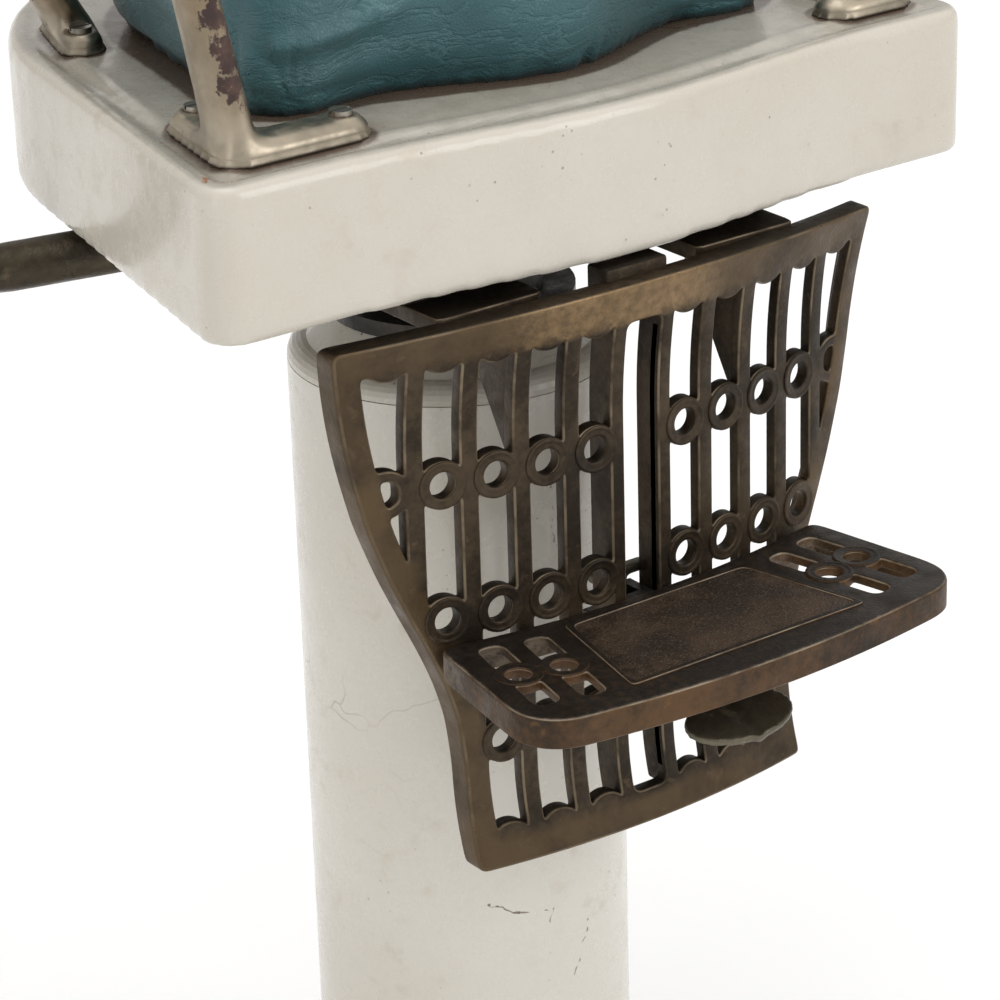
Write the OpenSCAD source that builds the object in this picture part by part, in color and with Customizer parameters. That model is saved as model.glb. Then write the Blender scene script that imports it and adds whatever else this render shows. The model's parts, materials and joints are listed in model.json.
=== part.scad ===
// Child's pedestal barber chair: round enamelled foot and column, lifting and turning seat,
// cast enamelled seat frame, plated arms, tilting back, and a pierced cast footrest whose step slides.
// The origin is on the floor on the column's axis. The sitter faces -Y, and +X is the sitter's left.

/* [Pedestal] */
// Radius of the foot on the floor
foot_r = 214; // [200:1:300]
// Height of the foot up to the column
foot_h = 78; // [60:1:110]
// Thickness of the foot's cast wall
foot_wall = 10; // [8:0.5:14]
// Outer radius of the column
column_r = 82.5; // [74:0.5:95]
// Thickness of the column's wall
column_wall = 9; // [7:0.5:11]
// Height of the seam where the cap sits on the column
seam_z = 520; // [470:1:640]

/* [Lift] */
// Radius of the ram that carries the seat
ram_r = 32; // [28:0.5:36]
// Radius of the pump bore inside the ram
pump_bore_r = 20; // [16:0.5:22]
// Radius of the king pin on top of the ram
king_pin_r = 20; // [17:0.5:24]
// Radius of the pump rod
pump_rod_r = 6; // [4:0.5:8]
// Bore radius of the oil cylinder
cylinder_bore_r = 38; // [37:0.5:42]
// Wall of the oil cylinder
cylinder_wall = 5; // [4:0.5:8]
// How far the ram lifts the seat
lift = 150; // [80:1:180]
// Radius of each bearing ball
ball_r = 4; // [3:0.25:5]
// Number of bearing balls
ball_count = 16; // [8:1:20]

/* [Seat frame] */
// Gap from the seam up to the seat frame's lower edge
neck_h = 86; // [80:1:110]
// Height of the seat frame's apron
apron_h = 75; // [60:1:95]
// Half width of the seat frame, measured square to its tapering side
seat_side = 193; // [180:1:215]
// Taper of each side towards the back, in degrees
seat_taper = 11; // [6:0.5:14]
// Front of the seat frame at its corners
seat_front = 132; // [124:1:150]
// How far the front bows out in the middle
seat_bow = 15; // [5:1:25]
// Back of the seat frame
seat_back = 245; // [232:1:270]
// Radius of the front corners in plan
seat_corner_r = 16; // [12:1:26]
// Thickness of the apron and the top ledge
seat_wall = 7; // [5:0.5:9]
// Inset from the frame's outside to the opening that the seat board covers
ledge_w = 80; // [72:1:88]
// Sideways shift of the whole seat on its pedestal
seat_shift = 5; // [0:0.5:8]

/* [Cushion] */
// Half width of the cushion at its base, square to its side
cushion_side = 146; // [136:1:150]
// Front of the cushion's base at its corners
cushion_front = 70; // [60:1:74]
// How far the cushion's front bows out
cushion_bow = 29; // [15:1:32]
// Back of the cushion's base
cushion_back = 190; // [176:1:196]
// Corner radius of the cushion
cushion_corner_r = 30; // [22:1:40]
// Height of the cushion at its edge
cushion_h = 82; // [60:1:100]
// Extra height of the cushion's crown
cushion_crown = 16; // [6:1:26]
// Thickness of the board that fills the seat frame's opening under the cushion
board_t = 12; // [9:0.5:18]

/* [Arms] */
// Height of the arm's rail above the ledge
arm_h = 176; // [150:1:210]
// Half width of the arm rails from the seat's middle
arm_half = 208; // [204:1:230]
// Distance of the front post behind the seat frame's front corner
arm_front_inset = 30; // [26:1:36]
// Rear post's place towards the back
arm_rear = 112; // [100:1:124]
// Width of the arm's section along its flat side
arm_wide = 33; // [26:1:36]
// Thickness of the arm's section
arm_thick = 17; // [13:0.5:20]
// Length of the arm pads
pad_len = 150; // [110:1:156]

/* [Back] */
// Lean of the back at rest, in degrees
back_lean = 8; // [0:1:14]
// Height of the back's hinge above the ledge
hinge_h = 40; // [34:1:60]
// Half width of the back cushion
back_half = 146; // [130:1:156]
// Height of the back cushion
back_h = 262; // [220:1:300]
// Thickness of the back cushion
back_t = 44; // [34:1:56]
// Radius of the headrest's stem
stem_r = 9; // [7:0.5:11]
// Half width of the headrest cushion
head_half = 92; // [70:1:110]

/* [Footrest panel] */
// Radius of the panel's curve in plan
panel_r = 500; // [440:1:560]
// Front face of the panel on the middle line, ahead of the column's axis
panel_front = 151; // [148:1:158]
// Thickness of the pierced plate
panel_t = 7; // [6:0.5:9]
// Depth of the flange round the panel's edge
panel_edge = 13; // [10:0.5:18]
// Top corner of the panel above the seam
panel_top = 72.5; // [68:0.5:74]
// Crown of the panel's top edge
panel_crown = 6; // [2:0.5:8]
// Lower edge of the panel below the seam
panel_drop = 200; // [190:1:220]
// Half width of the panel at its top
panel_top_half = 159; // [150:1:166]
// Half width of the panel at its tongue
panel_tongue_half = 99.5; // [94:0.5:104]
// Height above the lower edge where the sides begin to widen
tongue_h = 50; // [40:1:60]
// How far the top and the lower edge flare out
panel_flare = 9; // [4:0.5:12]
// Sideways pitch of the rings and bars
ring_pitch = 26.6; // [25.5:0.1:27.5]
// Height pitch of the ring rows
row_pitch = 67.7; // [60:0.1:70]
// Radius of each ring's hole
ring_hole_r = 5.9; // [4.5:0.1:6.5]
// Outer radius of each ring
ring_r = 12; // [10.5:0.1:12.6]
// How far the ring rims stand proud
ring_proud = 1.2; // [0.6:0.1:2]
// Width of each bar
bar_w = 9.2; // [7:0.1:11]
// Width of the frame round the windows
frame_w = 12; // [10:0.5:16]
// Depth of the guide ribs behind the middle bars
rib_depth = 10; // [8:1:16]

/* [Step] */
// Top of the step below the seam
step_drop = 80; // [74:1:100]
// Half width of the step at its front, square to its side
step_side = 129; // [122:1:134]
// Taper of the step's sides, in degrees
step_taper = 9; // [4:0.5:12]
// Front of the step at its corners
step_front = 241; // [236:1:250]
// How far the step's front bows out
step_bow = 9; // [5:1:14]
// Corner radius of the step
step_corner_r = 24; // [16:1:30]
// Thickness of the step's top
step_t = 5; // [4:0.5:7]
// Height of the step's skirt
skirt_h = 15; // [12:0.5:20]
// Thickness of the step's skirt
skirt_t = 4.5; // [3.5:0.5:6]

/* [Lever] */
// Direction of the pump lever, behind the sitter's right side, in degrees
lever_turn = 22; // [10:1:30]
// Droop of the lever at rest, in degrees
lever_droop = 4; // [2:0.5:7]
// Radius of the lever's round bar
lever_r = 12; // [9:0.5:13]
// Reach of the lever's straight stretch from the column's axis
lever_reach = 218; // [214:1:260]

/* [Hidden] */
// Fineness of round pieces
$fn = 64;
// Overrun of every cut
cut = 1;
// Radial gap of running fits
run_fit = 0.05;
// Gap between pieces that pass each other
gap = 0.3;
// Gap round a bolt or screw in a plain hole
bolt_gap = 0.15;
// Head height and head radius of a screw, as shares of its shank's radius
head_h_share = 1.2;
head_r_share = 1.8;
// Slot width and depth of a screw head, as shares of its shank's radius
slot_w_share = 0.5;
slot_d_share = 0.5;

// Values of the foot and the column
foot_edge_h = 16;
foot_edge_r = 8;
foot_boss_r = column_r + 18;
foot_sweep_n = 12;
foot_sweep_power = 2.2;
column_flange_t = 12;
column_flange_r = 54;
column_base_h = 14;
column_bolt_r = 5;
column_bolt_count = 6;
column_bolt_pcr = (column_flange_r + column_r - column_wall) / 2;
column_bore_r = column_r - column_wall;
cylinder_plate_r = column_flange_r - 2;
cylinder_plate_t = 10;
cylinder_bolt_r = 8;
cylinder_floor_t = 12;
gland_h = 26;
gland_top = seam_z - 2;
stop_gap = 0.5;
gland_seat_w = 14;
gland_seat_t = 12;
gland_screw_r = 3;
gland_screw_count = 4;
gland_screw_pcr = column_r - column_wall - gland_seat_w / 2;
gland_r = column_bore_r - gap;
gland_bottom = gland_top - gland_h;
cylinder_top = gland_bottom;

// Values of the ram, its bearing and the pump
piston_h = 26;
cup_h = 5;
piston_rest_gap = 6;
piston_bottom = foot_h + cylinder_plate_t + cylinder_floor_t + piston_rest_gap;
ram_bottom = piston_bottom + cup_h + piston_h;
// The gland's long bush is the ram's upper stop
bush_h = gland_bottom - ram_bottom - lift - stop_gap;
collar_bottom = gland_top + gap;
ram_top_t = 14;
spigot_h = 14;
cup_in_r = 12;
cup_washer_t = 4;
cup_washer_r = 24;
collar_h = 12;
collar_r = ram_r + 13;
race_t = 5;
groove_d_share = 0.35;
groove_gap = 0.05;
ball_ring_r = (king_pin_r + collar_r) / 2;
ball_z = collar_bottom + collar_h + race_t + ball_r * (1 - groove_d_share);
race_gap = 2 * ball_r * (1 - groove_d_share);
upper_race_z = collar_bottom + collar_h + race_t + race_gap;
hub_bottom = upper_race_z + race_t;
race_in_r = king_pin_r + 1;
race_out_r = collar_r - 1;
pin_engage = 30;
pin_top = hub_bottom + pin_engage;

// Values of the hub and the spider
hub_r = 46;
hub_flange_r = 62;
hub_flange_t = 8;
chamber_r = 27;
nose_len = 62;
lug_top_rise = 5.5;
pivot_z = seam_z + panel_top + lug_top_rise;
nose_r = 4;
nose_gap = 0.4;
nose_h = 5;
nose_arm_h = 2.5;
slot_side_gap = 1;
slot_low_gap = 3;
slot_high_gap = 12;
fork_half = 13;
fork_back = 14;
fork_wall = 4;
fork_in = pump_rod_r + gap;
rod_collar_t = 5;
rod_collar_r = 8.5;
rod_top = pivot_z + nose_r + nose_gap + rod_collar_t;
plunger_room = 72;
plunger_h = 24;
plunger_z = collar_bottom - ram_top_t - plunger_room;
pin_show = 4;
chamber_bottom = pin_top - pin_show;
cover_t = 6;
cover_screw_r = 2.5;
cover_screw_count = 3;
cover_screw_pcr = (chamber_r + hub_r) / 2;
cover_screw_depth = 12;
lever_eye_w = 20;
cheek_t = 8;
cheek_in = lever_eye_w / 2 + gap;
cheek_drop = 13;
cheek_rise = 13;
lever_pin_r = 5;
lever_eye_r = 12;
neck_len = 17;
nose_w = 11;
lever_sides = 16;
hook_angle = 68;
hook_r = 34;
grip_n = 8;
grip_len = 96;
grip_swell_share = 0.25;
grip_tip_share = 0.55;
spider_t = 16;
seat_bottom_z = seam_z + neck_h;
ledge_z = seat_bottom_z + apron_h;
spider_up = 16;
spider_z = seat_bottom_z + spider_up;
arm_bar_w = 27;
arm_set_in = 1;
boss_r = 15;
boss_y_front = -85;
boss_y_back = 110;
spider_bolt_r = 5;
spider_bolt_depth = 20;
panel_bolt_depth = 24;
pad_w = 64;
pad_y_out = 112;
pad_y_in = 72;
cap_shoulder_r = 10;
cap_wall = 6;
cap_gap = 0.5;
cap_hole_r = hub_r + cap_gap;
cap_land = 13;
cap_screw_pcr = cap_hole_r + cap_land / 2;
cap_screw_r = 2.5;
cap_screw_count = 3;
cap_top_z = hub_bottom;

// Values of the seat frame's outline
front_n = 24;
corner_n = 6;
back_n = 24;
bow_span_share = 0.78;
bow_part = 0.99;
arch_span_share = 0.96;
least_corner_r = 3;
edge_steps = 3;
edge_round = 6;

// Values of the cushions
cushion_bulge = 7;
cushion_gap = 0.3;
board_gap = 0.5;
cushion_z_shares = [0, 0.05, 0.28, 0.55, 0.78, 0.92, 1];
cushion_out_shares = [0, 0.35, 1, 0.9, 0.25, -0.9, -2.2];
crown_in_shares = [0.85, 0.65, 0.4, 0.15];
crown_up_shares = [0.42, 0.74, 0.93, 1];

// Values of the arms and their feet
foot_len_right = 82;
foot_len_left = 56;
arm_foot_side_len = 78;
arm_foot_w = 28;
foot_n = 10;
arm_foot_t = 10;
foot_step_share = 0.6;
foot_top_share = 0.8;
arm_inset = 29;
post_back = 5;
arm_lean = 20;
arm_bend_share = 0.7;
rear_bend_r = 40;
rail_half = 10;
screw_sink = 1.5;
arm_n = 5;
arm_sides = 12;
arm_screw_r = 3;
rear_foot_len = 66;
rear_foot_w = 24;
pad_half_w = 26;
pad_h = 24;
pad_shoe_t = 5;
pad_shoe_w = 36;
pad_screw_r = 2.5;
pad_corner_share = 0.8;
post_flare_share = 0.35;

// Values of the back
bracket_inset = 28;
bracket_len = 30;
bracket_t = 8;
bracket_cheek_t = 7;
bracket_tab = 20;
bracket_bolt_r = 3;
hinge_bolt_r = 6;
hinge_eye_r = 13;
spine_half = 20;
spine_t = 16;
back_base = 70;
back_board_t = 10;
back_corner_r = 46;
back_edge = 14;
back_dome = 8;
board_edge = 8;
bar_h = 26;
bar_half = 110;
bar_inset = 40;
socket_r = 17;
socket_len = 60;
socket_down = 20;
stem_y = spine_t / 2 + socket_r;
stem_len = 192;
head_rise = 62;
thumb_r = 4;
thumb_len = 26;
wing_r = 13;
wing_t = 5;
head_pin_r = 4;
head_eye_r = 10;
head_eye_w = 18;
head_h = 66;
head_t = 44;
head_edge = 12;
head_dome = 6;
head_plate_t = 6;
head_plate_gap = 10;
head_plate_share = 0.5;
head_corner_r = 26;
head_plate_half = 40;
head_lug_w = 10;
screw_small_r = 2;

// Values of the footrest panel
side_z_shares = [0, 0.12, 0.21, 0.29, 0.375, 0.465, 0.59, 0.7, 0.8, 0.9, 1];
side_x_shares = [0, 0.05, 0.145, 0.265, 0.41, 0.555, 0.72, 0.815, 0.885, 0.945, 1];
flare_n = 5;
flare_high = 10;
flare_low = 150;
crown_n = 12;
edge_t = 5;
row_one = 1.2;
slot_half = 10;
window_top = 58;
window_bottom = 184;
top_ring_z = 66.5;
low_ring_z = 191;
columns = 5;
low_columns = 3;
rib_t = 8;
rib_tail = 4;
rib_rise = 10;
rib_head = 24;
rim_inset = 0.4;
gusset_depth = 40;
gusset_t = 5;
gusset_h = 74;
lug_in = 45;
lug_out = 105;
lug_t = 8;
panel_bolt_r = 4;

// Values of the step, its shoe and its latch
step_gap = 1.5;
step_slot_w = 12;
step_slot_len = 22;
step_slot_lean = 12;
step_column_in = 80;
step_column_out = 102;
step_ring_y = 193;
step_ring_step = 5.5;
step_slot_gap = 11;
plaque_half = 55;
plaque_half_front = 70;
plaque_front = 230.5;
plaque_back = 159.5;
plaque_rim = 3;
plaque_rim_h = 0.8;
web_t = 10;
web_h = 20;
web_half = 24;
shoe_down = 5;
shoe_h = 38;
shoe_nose = 12;
shoe_head_h = 16;
shoe_gap = 0.3;
wing_h = 10;
wing_thick = 6;
wing_half = 20;
wing_down = 8;
shoe_screw_r = 2.5;
shoe_screw_x = 6;
shoe_screw_depth = 10;
latch_w = 8;
latch_pin_r = 3;
latch_pin_drop = 112;
latch_pin_in = 14;
latch_eye_r = 7;
latch_head_h = 5;
latch_head_rise = 32;
latch_head_half = 16;
latch_head_d = 7;
tab_y = 221;
tab_drop = 121;
tab_half = 30;
tab_wide = 17;
tab_t = 4;
tab_tilt = 14;
latch_bar_t = 6;
spring_r = 5;
spring_wire = 1.6;
spring_y = 172;

// A screw or bolt that points down from its head at the origin
module slot_screw(r, len) {
    difference() {
        union() {
            translate([0, 0, -len]) cylinder(r = r, h = len);
            cylinder(r = r * head_r_share, h = r * head_h_share);
        }
        translate([-r * head_r_share - cut, -r * slot_w_share / 2, r * (head_h_share - slot_d_share)])
            cube([2 * (r * head_r_share + cut), r * slot_w_share, r * slot_d_share + cut]);
    }
}

module hex_bolt(r, len) {
    translate([0, 0, -len]) cylinder(r = r, h = len);
    cylinder(r = r * head_r_share, h = r * head_h_share, $fn = 6);
}

module on_circle(count, r, turn = 0) {
    for (i = [0 : count - 1])
        rotate([0, 0, turn + i * 360 / count]) translate([r, 0, 0]) children();
}

module ring(r_out, r_in, h) {
    difference() {
        cylinder(r = r_out, h = h);
        translate([0, 0, -cut]) cylinder(r = r_in, h = h + 2 * cut);
    }
}

module rod_x(r, len) {
    translate([-len / 2, 0, 0]) rotate([0, 90, 0]) cylinder(r = r, h = len);
}

module rod_y(r, len) {
    rotate([-90, 0, 0]) cylinder(r = r, h = len);
}

// A solid through a stack of rings of equal point counts, listed from its lower end up
module loft(rings) {
    count = len(rings[0]);
    last = len(rings) - 1;
    points = [for (one = rings) for (point = one) point];
    sides = [for (i = [0 : last - 1]) for (j = [0 : count - 1])
        let (k = (j + 1) % count, a = i * count, b = a + count)
        each [[a + j, b + j, b + k], [a + j, b + k, a + k]]];
    bottom = [for (j = [0 : count - 1]) j];
    top = [for (j = [0 : count - 1]) last * count + count - 1 - j];
    polyhedron(points = points, faces = concat([bottom], sides, [top]), convexity = 6);
}

function arc(x, y, r, from, to, n) = [for (i = [0 : n])
    let (a = from + (to - from) * i / n) [x + r * cos(a), y + r * sin(a)]];

// Outline with a bowed front, rounded front corners, tapering sides and a round back.
// side is the distance from the middle line square to the side, front the corner's place.
function bowed_front(side, taper, front, bow, r) =
    let (cy = r - front, cx = (side - r - cy * sin(taper)) / cos(taper))
    [for (i = [0 : front_n]) let (u = 2 * i / front_n - 1)
        [bow_span_share * cx * u, -front - bow * (1 - bow_part * (1 - cos(180 * u)) / 2)]];

// A front edge that is one even arc
function arched_front(side, taper, front, bow, r) =
    let (cy = r - front, cx = (side - r - cy * sin(taper)) / cos(taper))
    [for (i = [0 : front_n]) let (u = arch_span_share * (2 * i / front_n - 1))
        [cx * u, -front - bow * (1 - u * u)]];

function front_corner(side, taper, front, r, hand) =
    let (cy = r - front, cx = (side - r - cy * sin(taper)) / cos(taper))
    hand > 0
        ? [for (i = [0 : corner_n]) let (a = -90 + (90 + taper) * i / corner_n)
            [cx + r * cos(a), cy + r * sin(a)]]
        : [for (i = [0 : corner_n]) let (a = 180 - taper + (90 + taper) * i / corner_n)
            [-cx + r * cos(a), cy + r * sin(a)]];

function seat_plan(side, taper, front, bow, r, back) =
    let (by = (back - side) / (1 - sin(taper)), rb = side - by * sin(taper))
    concat(bowed_front(side, taper, front, bow, r),
        front_corner(side, taper, front, r, 1),
        [for (i = [0 : back_n]) let (a = taper + (180 - 2 * taper) * i / back_n)
            [rb * cos(a), by + rb * sin(a)]],
        front_corner(side, taper, front, r, -1));

function frame_plan(inset) = seat_plan(seat_side - inset, seat_taper, seat_front - inset, seat_bow,
    max(seat_corner_r - inset, least_corner_r), seat_back - inset);

function cushion_plan(inset) = seat_plan(cushion_side - inset, seat_taper, cushion_front - inset,
    cushion_bow, max(cushion_corner_r - inset, least_corner_r), cushion_back - inset);

function lifted(plan, z) = [for (p = plan) [p[0], p[1], z]];

function shrunk(plan, mid, k) = [for (p = plan) [p[0] * k, mid + (p[1] - mid) * k]];

// Rounded rectangle in the plane, centred, as points
function round_rect(hx, hy, r, n) = concat(
    arc(hx - r, hy - r, r, 0, 90, n), arc(r - hx, hy - r, r, 90, 180, n),
    arc(r - hx, r - hy, r, 180, 270, n), arc(hx - r, r - hy, r, 270, 360, n));

// Pedestal

foot_top_t = 1.2 * foot_wall;
foot_sweep = [for (i = [0 : foot_sweep_n]) let (t = i / foot_sweep_n)
    [foot_r - foot_edge_r - (foot_r - foot_edge_r - foot_boss_r) * t,
        foot_edge_h + foot_edge_r + (foot_h - foot_edge_h - foot_edge_r) * pow(t, foot_sweep_power)]];

module floor_foot() {
    color("ivory") difference() {
        rotate_extrude($fn = 120) polygon(concat(
            [[0, foot_h], [0, foot_h - foot_top_t]],
            [for (i = [foot_sweep_n : -1 : 0]) [foot_sweep[i][0], foot_sweep[i][1] - foot_top_t]],
            [[foot_r - foot_wall, 0], [foot_r, 0]],
            arc(foot_r - foot_edge_r, foot_edge_h, foot_edge_r, 0, 90, 4),
            [for (i = [1 : foot_sweep_n]) foot_sweep[i]]));
        on_circle(column_bolt_count, column_bolt_pcr) translate([0, 0, foot_h - 2 * foot_top_t])
            cylinder(r = column_bolt_r + bolt_gap, h = 3 * foot_top_t);
        translate([0, 0, foot_h - 2 * foot_top_t])
            cylinder(r = cylinder_bolt_r + bolt_gap, h = 3 * foot_top_t);
    }
}

module column() {
    base_w = column_wall;
    color("ivory") difference() {
        rotate_extrude($fn = 120) polygon(concat(
            [[column_flange_r, foot_h], [column_r + base_w, foot_h]],
            arc(column_r, foot_h + column_base_h - base_w, base_w, 0, 90, 6),
            [[column_r, seam_z], [column_bore_r, seam_z], [column_bore_r, gland_bottom],
                [column_bore_r - gland_seat_w, gland_bottom],
                [column_bore_r - gland_seat_w, gland_bottom - gland_seat_t],
                [column_bore_r, gland_bottom - gland_seat_t - gland_seat_w],
                [column_bore_r, foot_h + column_flange_t],
                [column_flange_r, foot_h + column_flange_t]]));
        on_circle(column_bolt_count, column_bolt_pcr) translate([0, 0, foot_h - cut])
            cylinder(r = column_bolt_r + bolt_gap, h = column_flange_t + 2 * cut);
        on_circle(gland_screw_count, gland_screw_pcr, 45)
            translate([0, 0, gland_bottom - gland_seat_t / 2])
                cylinder(r = gland_screw_r + bolt_gap, h = gland_seat_t);
    }
}

module column_bolts() {
    color("dimgray") on_circle(column_bolt_count, column_bolt_pcr)
        translate([0, 0, foot_h - foot_top_t]) rotate([180, 0, 0])
            hex_bolt(column_bolt_r, foot_top_t + column_flange_t);
}

module oil_cylinder() {
    tube_r = cylinder_bore_r + cylinder_wall;
    floor_top = foot_h + cylinder_plate_t + cylinder_floor_t;
    color("slategray") difference() {
        rotate_extrude() polygon([[0, foot_h], [cylinder_plate_r, foot_h],
            [cylinder_plate_r, foot_h + cylinder_plate_t], [tube_r, foot_h + cylinder_plate_t],
            [tube_r, cylinder_top], [cylinder_bore_r, cylinder_top],
            [cylinder_bore_r, floor_top], [0, floor_top]]);
        translate([0, 0, foot_h - cut])
            cylinder(r = cylinder_bolt_r + bolt_gap, h = cylinder_plate_t + cut + cylinder_floor_t / 2);
    }
}

module cylinder_bolt() {
    color("dimgray") translate([0, 0, foot_h - foot_top_t]) rotate([180, 0, 0])
        hex_bolt(cylinder_bolt_r, foot_top_t + cylinder_plate_t);
}

module guide_gland() {
    color("goldenrod") difference() {
        union() {
            translate([0, 0, gland_bottom]) ring(gland_r, ram_r + run_fit, gland_h);
            translate([0, 0, gland_bottom - bush_h])
                ring(cylinder_bore_r - run_fit, ram_r + run_fit, bush_h + cut);
        }
        on_circle(gland_screw_count, gland_screw_pcr, 45) translate([0, 0, gland_bottom - cut])
            cylinder(r = gland_screw_r + bolt_gap, h = gland_h + 2 * cut);
    }
}

module gland_screws() {
    color("dimgray") on_circle(gland_screw_count, gland_screw_pcr, 45)
        translate([0, 0, gland_top]) slot_screw(gland_screw_r, gland_h + gland_seat_t / 2);
}

// Lift and bearing

module ram() {
    color("lightsteelblue") difference() {
        union() {
            translate([0, 0, ram_bottom]) cylinder(r = ram_r, h = collar_bottom - ram_bottom + cut);
            translate([0, 0, collar_bottom]) cylinder(r = collar_r, h = collar_h);
            translate([0, 0, collar_bottom]) cylinder(r = king_pin_r, h = pin_top - collar_bottom);
        }
        translate([0, 0, ram_bottom - cut])
            cylinder(r = pump_bore_r, h = collar_bottom - ram_bottom - ram_top_t + cut);
        translate([0, 0, collar_bottom - 2 * ram_top_t])
            cylinder(r = pump_rod_r + run_fit, h = pin_top - collar_bottom + 3 * ram_top_t);
    }
}

module piston() {
    color("gray") union() {
        translate([0, 0, piston_bottom + cup_h])
            cylinder(r = cylinder_bore_r - run_fit, h = piston_h);
        translate([0, 0, ram_bottom - cut]) cylinder(r = pump_bore_r - gap, h = spigot_h + cut);
        translate([0, 0, piston_bottom]) cylinder(r = cup_in_r, h = cup_h + cut);
        translate([0, 0, piston_bottom - cup_washer_t])
            cylinder(r = cup_washer_r, h = cup_washer_t);
    }
}

module piston_cup() {
    color("saddlebrown") translate([0, 0, piston_bottom])
        ring(cylinder_bore_r - run_fit, cup_in_r, cup_h);
}

module ball_groove() {
    rotate_extrude() translate([ball_ring_r, ball_z]) circle(r = ball_r + groove_gap);
}

module lower_race() {
    color("silver") difference() {
        translate([0, 0, collar_bottom + collar_h]) ring(race_out_r, race_in_r, race_t);
        ball_groove();
    }
}

module bearing_balls() {
    color("silver") on_circle(ball_count, ball_ring_r) translate([0, 0, ball_z]) sphere(r = ball_r);
}

module upper_race() {
    color("silver") difference() {
        translate([0, 0, upper_race_z]) ring(race_out_r, race_in_r, race_t);
        ball_groove();
    }
}

module column_cap() {
    rise = cap_top_z - seam_z - cap_gap;
    color("ivory") difference() {
        rotate_extrude($fn = 120) polygon(concat(
            [[column_r - cap_wall, seam_z + cap_gap], [column_r, seam_z + cap_gap]],
            [for (i = [1 : 6]) let (a = 15 * i)
                [column_r - cap_shoulder_r + cap_shoulder_r * cos(a),
                    seam_z + cap_gap + cap_shoulder_r * sin(a)]],
            [[cap_hole_r + cap_land, cap_top_z], [cap_hole_r, cap_top_z],
                [cap_hole_r, cap_top_z - cap_wall],
                [column_r - cap_shoulder_r - cap_wall, seam_z + cap_gap + cap_shoulder_r - cap_wall]]));
        on_circle(cap_screw_count, cap_screw_pcr) translate([0, 0, cap_top_z - 3 * cap_wall])
            cylinder(r = cap_screw_r + bolt_gap, h = 4 * cap_wall);
    }
}

module cap_screws() {
    color("dimgray") on_circle(cap_screw_count, cap_screw_pcr)
        translate([0, 0, hub_bottom + hub_flange_t]) slot_screw(cap_screw_r, hub_flange_t + cap_wall / 2);
}

// Spider that joins the king pin, the seat frame, the footrest and the lever

function side_x(y, k) = (k - y * sin(seat_taper)) / cos(seat_taper);
boss_k = seat_side - (seat_wall + ledge_w) / 2;
boss_places = [for (side = [-1, 1]) for (y = [boss_y_front, boss_y_back])
    [side * side_x(y, boss_k) + seat_shift, y]];
lug_top = pivot_z;
lug_mid = (lug_in + lug_out) / 2;
panel_bolt_x = (lug_out - lug_in) / 4;
panel_bolt_y = -(pad_y_in + pad_y_out) / 2;
hub_top = spider_z + spider_t;

module bar_to(place, set_in) {
    across = [-place[1], place[0]] * arm_bar_w / (2 * norm(place));
    translate([0, 0, spider_z + set_in]) linear_extrude(height = spider_t - 2 * set_in)
        polygon([across, -across, place - across, place + across]);
}

// Frame of the lever: x points out along it, z up, with the pivot at its origin
module at_lever() {
    translate([0, 0, pivot_z]) rotate([0, 0, 180 - lever_turn]) translate([nose_len, 0, 0]) children();
}

module seat_spider() {
    color("dimgray") difference() {
        union() {
            translate([0, 0, hub_bottom]) cylinder(r = hub_r, h = hub_top - hub_bottom);
            translate([0, 0, hub_bottom]) cylinder(r = hub_flange_r, h = hub_flange_t);
            for (place = boss_places) {
                bar_to(place, arm_set_in);
                translate([place[0], place[1], spider_z]) cylinder(r = boss_r, h = spider_t);
            }
            for (side = [-1, 1]) {
                bar_to([side * lug_mid, panel_bolt_y], 2 * arm_set_in);
                translate([side * lug_mid - pad_w / 2, -pad_y_out, lug_top])
                    cube([pad_w, pad_y_out - pad_y_in, hub_top - lug_top]);
            }
            at_lever() for (side = [-1, 1])
                translate([-nose_len, side > 0 ? cheek_in : -cheek_in - cheek_t, -cheek_drop])
                    cube([nose_len + lever_eye_r, cheek_t, cheek_drop + cheek_rise]);
        }
        translate([0, 0, hub_bottom - cut]) cylinder(r = king_pin_r + run_fit, h = hub_top - hub_bottom);
        translate([0, 0, chamber_bottom]) cylinder(r = chamber_r, h = hub_top);
        at_lever() translate([-nose_len, -nose_w / 2 - slot_side_gap, -nose_h - slot_low_gap])
            cube([nose_len, nose_w + 2 * slot_side_gap, 2 * nose_h + slot_low_gap + slot_high_gap]);
        at_lever() rotate([90, 0, 0]) translate([0, 0, -hub_r])
            cylinder(r = lever_pin_r + bolt_gap, h = 2 * hub_r);
        for (place = boss_places) translate([place[0], place[1], spider_z - cut])
            cylinder(r = spider_bolt_r + bolt_gap, h = spider_t + 2 * cut);
        for (side = [-1, 1]) for (dx = [-panel_bolt_x, panel_bolt_x])
            translate([side * lug_mid + dx, panel_bolt_y, lug_top - cut])
                cylinder(r = panel_bolt_r + bolt_gap, h = panel_bolt_depth + cut);
        on_circle(cover_screw_count, cover_screw_pcr, 60) translate([0, 0, hub_top - cover_screw_depth])
            cylinder(r = cover_screw_r + bolt_gap, h = hub_top);
        on_circle(cap_screw_count, cap_screw_pcr) translate([0, 0, hub_bottom - cut])
            cylinder(r = cap_screw_r + bolt_gap, h = hub_flange_t + 2 * cut);
    }
}

module spider_bolts() {
    color("dimgray") for (place = boss_places) translate([place[0], place[1], spider_z])
        rotate([180, 0, 0]) hex_bolt(spider_bolt_r, spider_t + spider_bolt_depth);
}

module hub_cover() {
    color("dimgray") difference() {
        translate([0, 0, hub_top]) cylinder(r = hub_r, h = cover_t);
        on_circle(cover_screw_count, cover_screw_pcr, 60) translate([0, 0, hub_top - cut])
            cylinder(r = cover_screw_r + bolt_gap, h = cover_t + 2 * cut);
    }
}

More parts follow.
